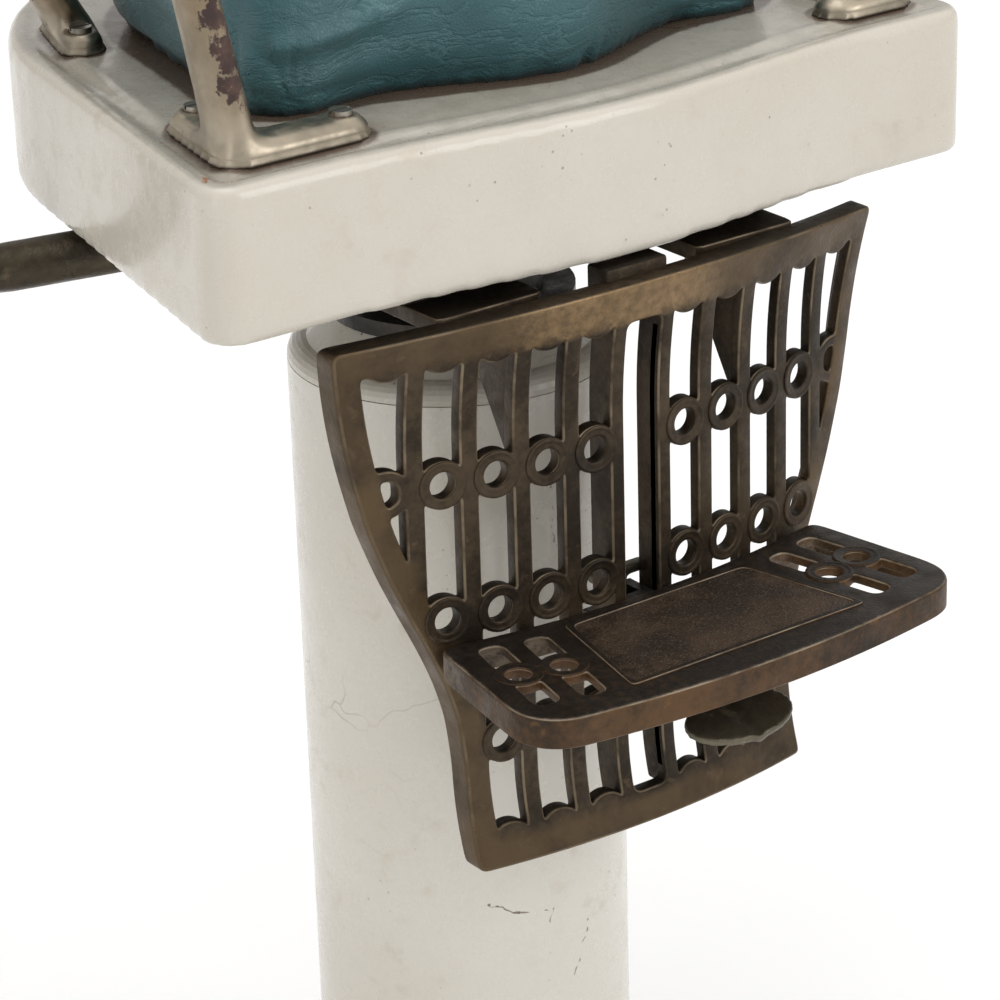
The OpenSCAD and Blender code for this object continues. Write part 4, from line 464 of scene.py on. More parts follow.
finish_of = {
    "enamel_foot": enamel("foot_enamel", cream, bone, 0.6, 0.3, 0.6),
    "enamel_column": enamel("column_enamel", (0.610, 0.582, 0.522), (0.550, 0.513, 0.445), 0.35, 0.7, 0.25,
                            scratches=column_scratches),
    "enamel_cap": enamel("cap_enamel", (0.56, 0.53, 0.465), (0.47, 0.43, 0.355), 0.8, 0.8, 0.7),
    "enamel_seat": enamel("seat_enamel", cream, bone, 0.6, 0.08, 0.9, dust_and_shade_amount=0.75, spots=ledge_grime_and_shade),
    "bolt_steel": plain_metal("bolt_steel", (0.36, 0.35, 0.33), (0.35, 0.6)),
    "machined_steel": plain_metal("machined_steel", (0.55, 0.55, 0.54), (0.12, 0.25)),
    "bronze": plain_metal("bearing_bronze", (0.55, 0.36, 0.15), (0.25, 0.4)),
    "cup_leather": soft_leather("pump_leather"),
    "black_iron": cast_iron("black_iron", (0.022, 0.020, 0.018), (0.05, 0.04, 0.032)),
    "lever_iron": cast_iron("lever_iron", (0.026, 0.021, 0.014), (0.065, 0.050, 0.030), (0.25, 0.5), 0.7),
    "board_wood": board_wood("seat_board_wood"),
    "vinyl_seat": leathercloth("seat_leathercloth", deep_blue, pale_blue),
    "vinyl_pad": leathercloth("pad_leathercloth", deep_blue, pale_blue, 0.6),
    "vinyl_back": leathercloth("back_leathercloth", deep_blue, pale_blue, 0.9),
    "nickel_arm": plated("arm_nickel", (0.42, 0.365, 0.285), (0.040, 0.022, 0.018), 0.575, (0.30, 0.5),
                         bare_iron, brown_film),
    "nickel_back": plated("back_nickel", (0.43, 0.385, 0.31), (0.05, 0.032, 0.024), 0.63, (0.26, 0.46)),
    "arm_screw": plain_metal("screw_nickel", (0.34, 0.31, 0.27), (0.3, 0.5)),
    # The colour after the edge colour goes on up-facing tops, nearly black: painted shade.
    "grille_iron": worn_iron("panel_iron", (0.024, 0.017, 0.011), (0.066, 0.046, 0.027), (0.22, 0.170, 0.112),
                             (0.9, (0.016, 0.012, 0.008)), polish_and_reflection=(0.092, 0.060, 0.030)),
    "step_iron": worn_iron("step_iron_worn", (0.022, 0.014, 0.008), (0.088, 0.045, 0.017), (0.30, 0.24, 0.17),
                           (1.0, (0.010, 0.007, 0.005)), 0.0004, 0.3, 0.85, (0.36, 0.62), 0.35,
                           fluff=(-0.172, -0.156)),
    "tab_metal": cast_iron("tab_metal", (0.064, 0.055, 0.037), (0.130, 0.113, 0.078), (0.32, 0.5), 0.6),
}
slot_of = {part["node"]: part["material_slot"] for part in frame["record"]["subparts"]}
for name, thing in frame["nodes"].items():
    thing.data.materials.clear()
    thing.data.materials.append(finish_of[slot_of[name]])
print(len(finish_of), "finishes on", len(frame["nodes"]), "nodes")
# %% [markdown]
# Most of this chair is cast iron: plates with rounded edges, pierced by windows. A plate is drawn flat, as
# a pattern maker cuts it, with the metal on the left of every outline. Each outline is stepped inwards
# along a small profile to round its edge, the flat skins are triangulated between outlines, and one
# function at the end lays the flat drawing on its real, curved surface.
# %% Drawing kit: outlines
def pathwalk(points):
    """Lengths along a closed outline, with its first point repeated at the end."""
    ring = np.vstack([points, points[:1]])
    return ring, np.concatenate([[0], np.cumsum(np.linalg.norm(np.diff(ring, axis=0), axis=1))])


def respaced(points, step):
    """The closed outline again, with points a step apart."""
    ring, along = pathwalk(np.asarray(points, float))
    spots = np.linspace(0, along[-1], max(12, int(along[-1] / step)), endpoint=False)
    return np.stack([np.interp(spots, along, ring[:, k]) for k in range(ring.shape[1])], 1)


def softened(points, rounds):
    """Corners eased a little with every round."""
    for _ in range(rounds):
        points = 0.5 * points + 0.25 * (np.roll(points, 1, 0) + np.roll(points, -1, 0))
    return points


def stepped_in(points, amount):
    """The outline moved towards the metal, which lies on its left."""
    ahead = np.roll(points, -1, 0) - points
    ahead /= np.linalg.norm(ahead, axis=1)[:, None] + 1e-12
    behind = np.roll(ahead, 1, 0)
    side = np.stack([-(ahead + behind)[:, 1], (ahead + behind)[:, 0]], 1)
    length = np.linalg.norm(side, axis=1)[:, None] + 1e-12
    return points + side / length * amount * np.minimum(2 / length, 1.35)


def turned(points, metal_inside):
    """Anticlockwise where the metal is inside, clockwise round a hole."""
    x, y = points[:, 0], points[:, 1]
    area = np.sum(x * np.roll(y, -1) - np.roll(x, -1) * y)
    return points if (area > 0) == metal_inside else points[::-1]


hole_corners = 28  # enough for rings and bolt holes


def circle(x, y, r):
    a = np.arange(hole_corners) * 2 * math.pi / hole_corners
    return np.stack([x + r * np.cos(a), y + r * np.sin(a)], 1)


def round_box(x0, x1, y0, y1, r, count=5):
    a = np.linspace(0, math.pi / 2, count)
    corners = [((x1 - r, y1 - r), 0), ((x0 + r, y1 - r), 1), ((x0 + r, y0 + r), 2), ((x1 - r, y0 + r), 3)]
    return np.array([(cx + r * math.cos(t + q * math.pi / 2), cy + r * math.sin(t + q * math.pi / 2))
                     for (cx, cy), q in corners for t in a])


def inside(spots, loops):
    """Whether each spot lies in the metal, by counting the outlines crossed on the way out."""
    x, y = spots[:, 0][:, None], spots[:, 1][:, None]
    hits = np.zeros(len(spots), int)
    for loop in loops:
        x0, y0 = loop[:, 0], loop[:, 1]
        x1, y1 = np.roll(x0, -1), np.roll(y0, -1)
        cross = (y0 <= y) != (y1 <= y)
        with np.errstate(divide="ignore", invalid="ignore"):
            hits += (cross & (x < x0 + (y - y0) / (y1 - y0) * (x1 - x0))).sum(1)
    return hits % 2 == 1


def skin(loops, grid):
    """Triangles between the outlines, over their points and an even grid of inner points."""
    edges, start = [], 0
    for loop in loops:
        n = len(loop)
        edges += [(start + i, start + (i + 1) % n) for i in range(n)]
        start += n
    everything = np.vstack(loops)
    low, high = everything.min(0), everything.max(0)
    gx, gy = np.meshgrid(np.arange(low[0] + grid / 2, high[0], grid),
                         np.arange(low[1] + grid / 2, high[1], grid))
    spots = np.stack([gx.ravel(), gy.ravel()], 1)
    spots = spots[inside(spots, loops)]
    room = (0.45 * grid) ** 2
    clear = [np.min(np.sum((everything - s) ** 2, 1)) > room for s in spots]
    points = np.vstack([everything, spots[np.array(clear, bool)]])
    found = geometry.delaunay_2d_cdt([Vector(p) for p in points], edges, [], 0, 1e-7)
    origin = [o[0] if o else -1 for o in found[3]]
    triangles = np.array([[origin[i] for i in f] for f in found[2]])
    triangles = triangles[(triangles >= 0).all(1)]
    kept = inside(points[triangles].mean(1), loops)
    return points, triangles[kept]


# %% Drawing kit: pierced plates
def edge_profile(radius, depth, steps=3, foot=None):
    """(inset, depth) pairs of a rounded front edge, a straight wall and a smaller rounding at the back."""
    arc = [(radius * (1 - math.sin(a)), radius * (1 - math.cos(a))) for a in np.linspace(0, math.pi / 2,
                                                                                         steps + 1)]
    foot = radius if foot is None else foot
    back = [(foot * (1 - math.cos(a)), depth - foot * (1 - math.sin(a))) for a in np.linspace(0, math.pi / 2,
                                                                                              steps + 1)]
    return arc + back


def pierced_plate(outline, holes, outer, hole, laid, grid=6.0):
    """Points, faces and edge values of a plate: 1 on the rounded front edge, which the finish lightens as
    wear and painted highlight. outer and hole are profiles. laid puts (x, y, depth) in space.
    """
    loops = [(turned(outline, True), outer)] + [(turned(h, False), hole) for h in holes]
    verts, faces, wear = [], [], []
    count = 0

    def put(flat, depth, worn):
        nonlocal count
        verts.append(laid(flat[:, 0], flat[:, 1], np.broadcast_to(depth, len(flat)).astype(float)))
        wear.append(np.broadcast_to(worn, len(flat)).astype(float))
        count += len(flat)
        return count - len(flat)

    for front in (True, False):
        rims = [stepped_in(loop, profile[0 if front else -1][0]) for loop, profile in loops]
        points, triangles = skin(rims, grid)
        depth = loops[0][1][0 if front else -1][1]
        first = put(points, depth, 0.0)
        faces += (triangles + first if front else triangles[:, ::-1] + first).tolist()
        if front:
            front_start = first
    back_start, offset = first, 0
    for loop, profile in loops:
        n = len(loop)
        ids = np.arange(n)
        last = front_start + offset + ids
        for level, (inset, depth) in enumerate(profile[1:-1], 1):
            # The rounded front edge gets 1, which the finish lightens as wear and painted highlight.
            first = put(stepped_in(loop, inset), depth, 1.0 if level in (1, 2) else 0.0)
            now = first + ids
            faces += np.stack([last, now, np.roll(now, -1), np.roll(last, -1)], 1).tolist()
            last = now
        now = back_start + offset + ids
        faces += np.stack([last, now, np.roll(now, -1), np.roll(last, -1)], 1).tolist()
        offset += n
    return np.vstack(verts), faces, np.concatenate(wear)


# %% [markdown]
# Edges that turn by more than an angle stay crisp where the metal has a real edge.
# %% Making pieces
def paint(mesh, name, values):
    mesh.attributes.new(name, "FLOAT", "POINT").data.foreach_set("value", values.astype(np.float32))


def finished(name, mesh, body, slot, finish=None, replaces=(), crisp=None):
    """A mesh made a piece: smooth, named, with its finish, riding on its body."""
    mesh.name = name
    mesh.shade_smooth()
    if crisp is not None:
        mesh.set_sharp_from_angle(angle=math.radians(crisp))
    mesh.materials.clear()
    mesh.materials.append(finish or finish_of[slot])
    piece = bpy.data.objects.new(name, mesh)
    bpy.context.scene.collection.objects.link(piece)
    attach(piece, body)
    if replaces:
        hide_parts(*replaces)
    print(name, "has", len(mesh.polygons), "faces")
    return piece


def casting(name, parts, body, slot, finish=None, replaces=()):
    """One Blender piece from (points in mm, faces, wear) parts, riding on a CAD body."""
    verts, faces, wear, count = [], [], [], 0
    for points, its_faces, *its_wear in parts:
        verts.append(np.asarray(points, float))
        wear.append(its_wear[0] if its_wear else np.zeros(len(points)))
        faces += [[i + count for i in f] for f in its_faces]
        count += len(points)
    mesh = bpy.data.meshes.new(name)
    mesh.from_pydata((np.vstack(verts) / 1000).tolist(), [], faces)
    paint(mesh, "wear", np.concatenate(wear))
    mesh.validate()
    return finished(name, mesh, body, slot, finish, replaces, 40)


def block(x, y, z, r, laid=None, steps=(1, 1, 1)):
    """A rounded block: a box with its edges rounded to r, cut into steps along each axis, then laid."""
    lows, highs = np.array([x, y, z], float).T
    work = bmesh.new()
    bmesh.ops.create_cube(work, size=2)
    bevel = 0.2
    bmesh.ops.bevel(work, geom=work.edges[:], offset=bevel, segments=2, affect="EDGES", profile=0.5)
    points = np.array([v.co for v in work.verts])
    half, mid = (highs - lows) / 2, (highs + lows) / 2
    sign, part = np.sign(points), np.abs(points)
    rim = np.clip((part - (1 - bevel)) / bevel, 0, 1)
    flat = np.where(part > 1 - bevel - 1e-6, half - r + rim * r, half * part)
    for v, co in zip(work.verts, sign * flat + mid):
        v.co = co
    for axis, n in enumerate(steps):
        for cut in np.linspace(lows[axis], highs[axis], n + 1)[1:-1]:
            normal = Vector([float(axis == k) for k in range(3)])
            everything = work.verts[:] + work.edges[:] + work.faces[:]
            bmesh.ops.bisect_plane(work, geom=everything, plane_co=normal * cut, plane_no=normal)
    work.verts.ensure_lookup_table()
    out = np.array([v.co for v in work.verts])
    faces = [[v.index for v in f.verts] for f in work.faces]
    work.free()
    if laid is not None:
        out = laid(out[:, 0], out[:, 2], out[:, 1])
    return out, faces
# %% [markdown]
# A casting's edges are never sharp, because sand can't hold a sharp corner. The exact solids have crisp
# edges, so the pieces that show are copied, filled with small voxels and eased a few rounds. How near a
# point lies to its neighbours tells the finish where to darken it: grime, and painted shade where parts meet.
# %% Copies of the exact solids
def merged_copy(node):
    """The node's triangles with their shared corners joined, as a new mesh."""
    mesh = frame["nodes"][node].data.copy()
    work = bmesh.new()
    work.from_mesh(mesh)
    bmesh.ops.remove_doubles(work, verts=work.verts, dist=1e-5)
    work.to_mesh(mesh)
    work.free()
    return mesh


def run_modifier(mesh, kind, settings):
    """The mesh after one modifier, as a plain mesh."""
    holder = bpy.data.objects.new("holder", mesh)
    bpy.context.scene.collection.objects.link(holder)
    modifier = holder.modifiers.new("work", kind)
    for word, value in settings.items():
        setattr(modifier, word, value)
    result = bpy.data.meshes.new_from_object(holder.evaluated_get(bpy.context.evaluated_depsgraph_get()))
    bpy.data.objects.remove(holder)
    return result


def voxels(mesh, size):
    return run_modifier(mesh, "REMESH", {"mode": "VOXEL", "voxel_size": size / 1000})


def spots_of(mesh, what="co"):
    """Vertex places or normals of a mesh as an array. Places are in millimetres."""
    out = np.empty(len(mesh.vertices) * 3, np.float32)
    mesh.vertices.foreach_get(what, out)
    return out.reshape(-1, 3).astype(float) * (1000 if what == "co" else 1)


def put_spots(mesh, points):
    mesh.vertices.foreach_set("co", (points / 1000).astype(np.float32).ravel())
    mesh.update()


def pairs_of(mesh):
    out = np.empty(len(mesh.edges) * 2, np.int32)
    mesh.edges.foreach_get("vertices", out)
    return out.reshape(-1, 2)


def mean_around(values, pairs):
    """For every vertex, the mean of a value over its neighbours."""
    count = np.bincount(pairs.ravel(), minlength=len(values)).astype(float)
    total = np.zeros_like(values)
    for k in range(values.shape[1]):
        total[:, k] = (np.bincount(pairs[:, 0], values[pairs[:, 1], k], len(values))
                       + np.bincount(pairs[:, 1], values[pairs[:, 0], k], len(values)))
    return total / np.maximum(count, 1)[:, None]


def eased(points, pairs, rounds, amount=0.5):
    for _ in range(rounds):
        points = points + amount * (mean_around(points, pairs) - points)
    return points


def surface_of(mesh):
    """A mesh made ready for finding its nearest places."""
    return BVHTree.FromPolygons([v.co for v in mesh.vertices], [p.vertices for p in mesh.polygons])


def crowded(points, nodes, reach):
    """1 where a point touches one of the nodes, falling to 0 at reach mm."""
    best = np.zeros(len(points))
    for node in nodes:
        tree = surface_of(frame["nodes"][node].data)
        low, high = (np.array(c) * 1000 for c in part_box(node))
        close = np.nonzero(((points > low - reach) & (points < high + reach)).all(1))[0]
        for i in close:
            place, _, _, gap = tree.find_nearest(Vector(points[i]) / 1000, reach / 1000)
            if place is not None:
                best[i] = max(best[i], 1 - gap * 1000 / reach)
    return best


crown_rounds = 40


def softened_casting(node, body, size, rounds, shape=None, near=(), reach=8.0, hold=None, crown=None):
    """The exact solid again as sand casting leaves it, with its edges eased and its closeness to neighbours
    measured for grime and painted shade.
    """
    mesh = voxels(merged_copy(node), size)
    pairs = pairs_of(mesh)
    start = spots_of(mesh)
    points = eased(start, pairs, rounds)
    if crown is not None:
        points += (eased(points, pairs, crown_rounds) - points) * crown(start)[:, None]
    if hold is not None:
        points += (start - points) * hold(start)[:, None]
    if shape is not None:
        points = shape(points)
    put_spots(mesh, points)
    # Closeness to neighbouring parts, which the finish turns into grime and painted shade.
    paint(mesh, "grime_and_shade", crowded(points, near, reach))
    return finished(node + "_casting", mesh, body, slot_of[node], replaces=[node])


def to_line(points, line):
    """The shortest distance from each flat point to a closed line."""
    best = np.full(len(points), 1e9)
    for a, b in zip(line, np.roll(line, -1, 0)):
        ahead = b - a
        t = np.clip(((points - a) @ ahead) / (ahead @ ahead + 1e-12), 0, 1)
        best = np.minimum(best, np.linalg.norm(points - a - t[:, None] * ahead, axis=1))
    return best


print("ready to soften castings")
# %% [markdown]
# The footrest panel is the chair's showpiece: one casting, curved like a barrel, with columns of tall
# windows between flat bars and a small ring wherever two windows meet. Every window follows one rule, so
# the windows are computed: each is a strip of the column grid, closed by the rings above and below it and
# by the frame.
# %% Panel outline and windows
pitch, bar, rim_r, eye_r, frame_w = 26.6, 9.2, 12.0, 6.4, 12.0
ring_rows, top_row, low_row = (-1.2, -68.9, -136.6), 66.5, -191.0
foot_z, waist_z, corner_z, crown_rise = -200, -150, 72.5, 6
waist_half, corner_half = 99.5, 159.0
side_z = waist_z + (corner_z - waist_z) * np.array([0, 0.12, 0.21, 0.29, 0.375, 0.465, 0.59, 0.7, 0.8, 0.9,
                                                    1])
side_share = np.array([0, 0.05, 0.145, 0.265, 0.41, 0.555, 0.72, 0.815, 0.885, 0.945, 1])
side_x = waist_half + (corner_half - waist_half) * side_share
heights = np.arange(foot_z, corner_z + 0.1, 1.5)
widths = np.interp(heights, side_z, side_x)
blur = np.hanning(17)[1:-1]
widths = np.pad(widths, 7, mode="reflect", reflect_type="odd")
widths = np.convolve(widths, blur / blur.sum(), "valid")
crown = [(x, corner_z + crown_rise * (1 - (x / corner_half) ** 2)) for x in np.linspace(157, -157, 90)]
right_side = list(zip(widths, heights))
left_side = [(-w, h) for w, h in right_side[::-1]]
panel_outline = softened(respaced(np.array(right_side + crown + left_side), 2.0), 3)


def frame_floor(x):
    """The height below which the frame's inner edge closes a window at x."""
    return np.interp(x, widths - frame_w, heights, left=-1e3, right=1e3)


def window(x0, x1, below, above):
    """A window outline between two curves, or None where the frame leaves no room."""
    x = np.linspace(x0, x1, max(6, int((x1 - x0) / 0.8)))
    low, high = np.maximum(below(x), frame_floor(x)), above(x)
    open_here = high - low > 0.4
    if open_here.sum() < 4:
        return None
    x, low, high = x[open_here], low[open_here], high[open_here]
    return np.vstack([np.stack([x, low], 1), np.stack([x[::-1], high[::-1]], 1)])


def over_ring(xc, zc, r=rim_r):
    return lambda x: zc + np.sqrt(np.maximum(r ** 2 - (x - xc) ** 2, 0))


def under_ring(xc, zc, cap=1e3, r=rim_r):
    return lambda x: np.minimum(zc - np.sqrt(np.maximum(r ** 2 - (x - xc) ** 2, 0)), cap)


# %% Windows, column by column
half_w, window_top, outer_edge, last_floor = (pitch - bar) / 2, 58, 147.0, -69.0
eyes_in_column = {1: 3, 2: 3, 3: 3, 4: 2, 5: 0}
guide_slot = softened(respaced(round_box(-10, 10, -184, window_top, 3), 1.1), 3)
windows, ring_spots = [guide_slot], []
for k, eye_count in eyes_in_column.items():
    xc = k * pitch
    rows = [(over_ring(xc, ring_rows[0]), under_ring(xc, top_row, window_top))]
    if k < 5:
        rows.append((over_ring(xc, ring_rows[1]), under_ring(xc, ring_rows[0])))
    else:
        rows.append((lambda x: x * 0 + last_floor, under_ring(xc, ring_rows[0])))
    if k < 4:
        rows.append((over_ring(xc, ring_rows[2]), under_ring(xc, ring_rows[1])))
        rows.append((over_ring(xc, low_row), under_ring(xc, ring_rows[2])))
    shapes = []
    for i, (low, high) in enumerate(rows):
        far_edge = outer_edge if (k, i) == (5, 0) else xc + half_w
        shapes.append(window(xc - half_w, far_edge, low, high))
    if k == 5:
        ends = (xc, ring_rows[0])
        shapes.append(window(xc - eye_r, xc + eye_r, under_ring(*ends, r=eye_r), over_ring(*ends, r=eye_r)))
    shapes = [softened(respaced(shape, 1.0), 2) for shape in shapes if shape is not None]
    eyes = ring_rows[:eye_count]
    shapes += [circle(xc, row, eye_r) for row in eyes]
    ring_spots += [(side * xc, row) for side in (-1, 1) for row in eyes]
    for shape in shapes:
        windows += [shape, shape * (-1, 1)]
print(len(windows), "windows and eyes,", len(ring_spots), "rings")
# %% [markdown]
# The flat drawing is laid on a barrel of 500 mm radius that flares forward at its top and bottom. Depth
# runs backwards from the front face, so the same function places the plate, the ribs behind it and the
# rings on it.
# %% Lay the panel on its barrel
barrel_r, barrel_y, flare_depth = 500, 349, 9


def barrel(x, z, depth):
    above, below = np.clip(z - 10, 0, None) / 68.5, np.clip(waist_z - z, 0, None) / (waist_z - foot_z)
    radius = barrel_r + flare_depth * np.where(z > 10, above, below) ** 2 - depth
    return np.stack([x, barrel_y - np.sqrt(radius ** 2 - x ** 2), z + SEAM], 1)


flange = [(1.9 * (1 - math.sin(a)), 1.9 * (1 - math.cos(a))) for a in np.linspace(0, math.pi / 2, 5)]
flange += [(0, 8.0), (0, 12.2), (0.8, 13), (4.2, 13), (5, 12.2), (5, 8.2), (5.8, 7)]
plate = pierced_plate(panel_outline, windows, flange, edge_profile(1.5, 7, 3, 0.8), barrel)
print("the plate has", len(plate[1]), "faces")
# %% [markdown]
# Behind the bars stand two deep guide ribs for the step, two gussets and two lugs that bolt up under the
# seat. They are rounded blocks and small plates in the same drawing, laid with the same function.
# %% Ribs, gussets and lugs
def flat_at(height):
    """Lays a drawing level, with its front face up."""
    return lambda x, y, depth: np.stack([x, y, height - depth], 1)


def upright_at(across):
    """Stands a drawing of (y, z) on edge, from one side across the chair."""
    return lambda y, z, depth: np.stack([across + depth, y, z + SEAM], 1)


rib_middle, rib_half, lug_middle, lug_half, gusset_middle, grid = 14, 4, 75, 30, 66.5, 9
gusset_front, gusset_back = -143.0, -99.0
behind = []
for side in (-1, 1):
    across = (side * rib_middle - rib_half, side * rib_middle + rib_half)
    behind.append(block(across, (1.5, 17), (-188, 72), 1.2, barrel, (1, 1, 40)))
behind.append(block((-18, 18), (-149.5, -134.2), (SEAM + 60, SEAM + 84), 1.6))
for side in (-1, 1):
    middle = side * lug_middle
    lug = respaced(round_box(middle - lug_half, middle + lug_half, -138, -72, 4), 4)
    holes = [circle(middle + off, -92, 4.6) for off in (-15, 15)]
    behind.append(pierced_plate(lug, holes, edge_profile(1.2, 8), edge_profile(0.8, 8), flat_at(SEAM + 78),
                                grid))
    gusset = np.array([(gusset_front - 5, 71), (gusset_back, 74), (gusset_back, 68), (gusset_front + 4, 0),
                       (gusset_front, 0), (gusset_front, 12)])
    gusset = softened(respaced(gusset, 3), 2)
    stood = upright_at(side * gusset_middle - 2.5)
    behind.append(pierced_plate(gusset, [], edge_profile(1.2, 5), edge_profile(0.8, 5), stood, grid))
print(len(behind), "parts behind the panel")
# %% [markdown]
# Old foundries put a bead round each ring to stiffen it. It is one small turned profile, repeated on every
# ring and tilted with the barrel, which is the work Geometry Nodes are made for.
# %% Ring beads by Geometry Nodes
def node_tree(name, *inputs):
    """An empty Geometry Nodes tree with named inputs. Gives the tree, its input node and its output node."""
    tree = bpy.data.node_groups.new(name, "GeometryNodeTree")
    tree.interface.new_socket("Geometry", in_out="INPUT", socket_type="NodeSocketGeometry")
    tree.interface.new_socket("Geometry", in_out="OUTPUT", socket_type="NodeSocketGeometry")
    for title, kind in inputs:
        tree.interface.new_socket(title, in_out="INPUT", socket_type="NodeSocket" + kind)
    return tree, tree.nodes.new("NodeGroupInput"), tree.nodes.new("NodeGroupOutput")


def repeater(name):
    """A tree that puts a small pattern on every point of a cloud, turned to the point's own direction."""
    tree, given, result = node_tree(name, ("Pattern", "Object"), ("Size", "Float"), ("Finish", "Material"))
    pattern = add_node(tree, "GeometryNodeObjectInfo", Object=given.outputs["Pattern"])
    facing = add_node(tree, "GeometryNodeInputNamedAttribute", {"data_type": "FLOAT_VECTOR"}, Name="facing")
    turn = add_node(tree, "FunctionNodeAlignRotationToVector", {"axis": "Z"}, Vector=facing.outputs[0])
    placed = add_node(tree, "GeometryNodeInstanceOnPoints", Points=given.outputs["Geometry"],
                      Instance=pattern.outputs["Geometry"],
                      Rotation=turn.outputs[0], Scale=given.outputs["Size"])
    real = add_node(tree, "GeometryNodeRealizeInstances", Geometry=placed.outputs[0])
    smooth = add_node(tree, "GeometryNodeSetShadeSmooth", Geometry=real.outputs[0])
    painted = add_node(tree, "GeometryNodeSetMaterial", Geometry=smooth.outputs[0],
                       Material=given.outputs["Finish"])
    tree.links.new(painted.outputs[0], result.inputs[0])
    return tree


def turned_mesh(name, profile, count=32):
    """A small ring turned about Z from a closed profile of (radius, height) pairs in mm."""
    verts = [(r / 1000 * math.cos(a), r / 1000 * math.sin(a), z / 1000)
             for r, z in profile for a in np.arange(count) * 2 * math.pi / count]
    faces = [(i * count + j, i * count + (j + 1) % count, (i + 1) * count + (j + 1) % count,
              (i + 1) * count + j)
             for i in range(len(profile) - 1) for j in range(count)]
    mesh = bpy.data.meshes.new(name)
    mesh.from_pydata(verts, [], faces)
    return mesh


def repeat(name, pattern_mesh, spots, facings, body, slot, size=1.0):
    pattern = bpy.data.objects.new(name + "_pattern", pattern_mesh)
    bpy.context.scene.collection.objects.link(pattern)
    cloud = bpy.data.meshes.new(name + "_spots")
    cloud.from_pydata([tuple(c / 1000 for c in p) for p in spots], [], [])
    directions = cloud.attributes.new("facing", "FLOAT_VECTOR", "POINT")
    directions.data.foreach_set("vector", np.array(facings, np.float32).ravel())
    maker = bpy.data.objects.new(name + "_maker", cloud)
    bpy.context.scene.collection.objects.link(maker)
    modifier = maker.modifiers.new("repeat", "NODES")
    modifier.node_group = bpy.data.node_groups.get("repeat_on_points") or repeater("repeat_on_points")
    sockets = {item.name: item.identifier for item in modifier.node_group.interface.items_tree
               if item.in_out == "INPUT"}
    modifier[sockets["Pattern"]], modifier[sockets["Size"]] = pattern, size
    modifier[sockets["Finish"]] = finish_of[slot]
    mesh = bpy.data.meshes.new_from_object(maker.evaluated_get(bpy.context.evaluated_depsgraph_get()))
    for extra in (maker, pattern):
        bpy.data.objects.remove(extra)
    print(name, "repeats", len(spots), "times")
    return finished(name, mesh, body, slot, crisp=35)


def barrel_spot(x, z):
    """A point of the front face and the direction it faces."""
    near_by = np.array([(x, z), (x + 0.5, z), (x, z + 0.5)])
    here, aside, above = barrel(near_by[:, 0], near_by[:, 1], np.zeros(3))
    facing = np.cross(aside - here, above - here)
    return here, facing / np.linalg.norm(facing)


bead = [(7.8, -1.5), (10.9, -1.5), (11.7, 0.0), (11.6, 0.45), (11.1, 0.75), (10.4, 0.75), (9.8, 0.5),
        (9.2, 0.38), (8.2, 0.38), (7.3, 0.36), (6.8, 0.15), (6.6, -0.1), (6.6, -1.5), (7.8, -1.5)]
spots, facings = zip(*(barrel_spot(x, z) for x, z in ring_spots))
repeat("ring_beads", turned_mesh("bead", bead), spots, facings, "seat", "grille_iron")
# %% [markdown]
# Shoes polish the panel's frame and top rail, and the frame's lighter colour is also a painted reflection
# that sets it off from the darker bars. The script paints a value on that rim of the front face, and the
# finish reads it to turn the iron lighter there.
# %% The panel and its rim
panel = casting("footrest_panel_casting", [plate] + behind, "seat", "grille_iron",
                replaces=["footrest_panel"])
flat_spots = spots_of(panel.data)[:, [0, 2]] - (0, SEAM)
on_frame = np.clip((13 - to_line(flat_spots, panel_outline)) / 2, 0, 1)
in_front = np.arange(len(flat_spots)) < len(plate[0])
paint(panel.data, "rim", in_front * np.maximum(on_frame, np.clip((flat_spots[:, 1] - 57) / 2, 0, 1)))
# %% [markdown]
# The seat frame is one wide casting. Its ledge has a rolled lip, a shallow valley inside the lip, a low
# ridge and then a flat shelf under the arm feet. The section is the same all the way round, so every point
# of the ledge is moved by its distance from the outline.
# %% Seat frame
def seat_outline(side, taper, front, bow, r, back, count=24):
    """The seat's outline: bowed front, small corners, tapering sides and a round back."""
    s, c = math.sin(math.radians(taper)), math.cos(math.radians(taper))
    cy = r - front
    cx = (side - r - cy * s) / c
    by = (back - side) / (1 - s)
    rb = side - by * s
    u = np.linspace(-1, 1, 2 * count)
    line = [np.stack([0.78 * cx * u, -front - bow * (1 - 0.99 * (1 - np.cos(np.pi * u)) / 2)], 1)]
    a = np.radians(np.linspace(-90, taper, 8))
    line.append(np.stack([cx + r * np.cos(a), cy + r * np.sin(a)], 1))
    b = np.radians(np.linspace(taper, 180 - taper, 3 * count))
    line.append(np.stack([rb * np.cos(b), by + rb * np.sin(b)], 1))
    a = np.radians(np.linspace(180 - taper, 270, 8))
    line.append(np.stack([-cx + r * np.cos(a), cy + r * np.sin(a)], 1))
    return np.vstack(line) + (5.0, 0.0)


frame_line = seat_outline(side=193, taper=11, front=132, bow=15, r=16, back=245)


def hump(values, middle, spread):
    """1 at the middle, fading to 0 on both sides."""
    return np.exp(-((values - middle) / spread) ** 2)


def rolled_ledge(points):
    """The ledge's section: a rolled lip, a valley 13 mm in and a low ridge 21.5 mm in."""
    points = points.copy()
    inset = to_line(points[:, :2], frame_line)
    on_top = np.clip((points[:, 2] - 674) / 5, 0, 1) * (inset > 2)
    section = 0.55 * hump(inset, 21.5, 3.0) - 2.3 * hump(inset, 13.0, 4.2)
    lip = 1.4 * np.clip((points[:, 2] - 672) / 8, 0, 1) * np.clip(1 - inset / 10, 0, 1) ** 2
    points[:, 2] += on_top * section - lip
    return points


softened_casting("seat_frame", "seat", 2.6, 6, rolled_ledge, ["seat_cushion", "left_arm", "right_arm"], 5.0)
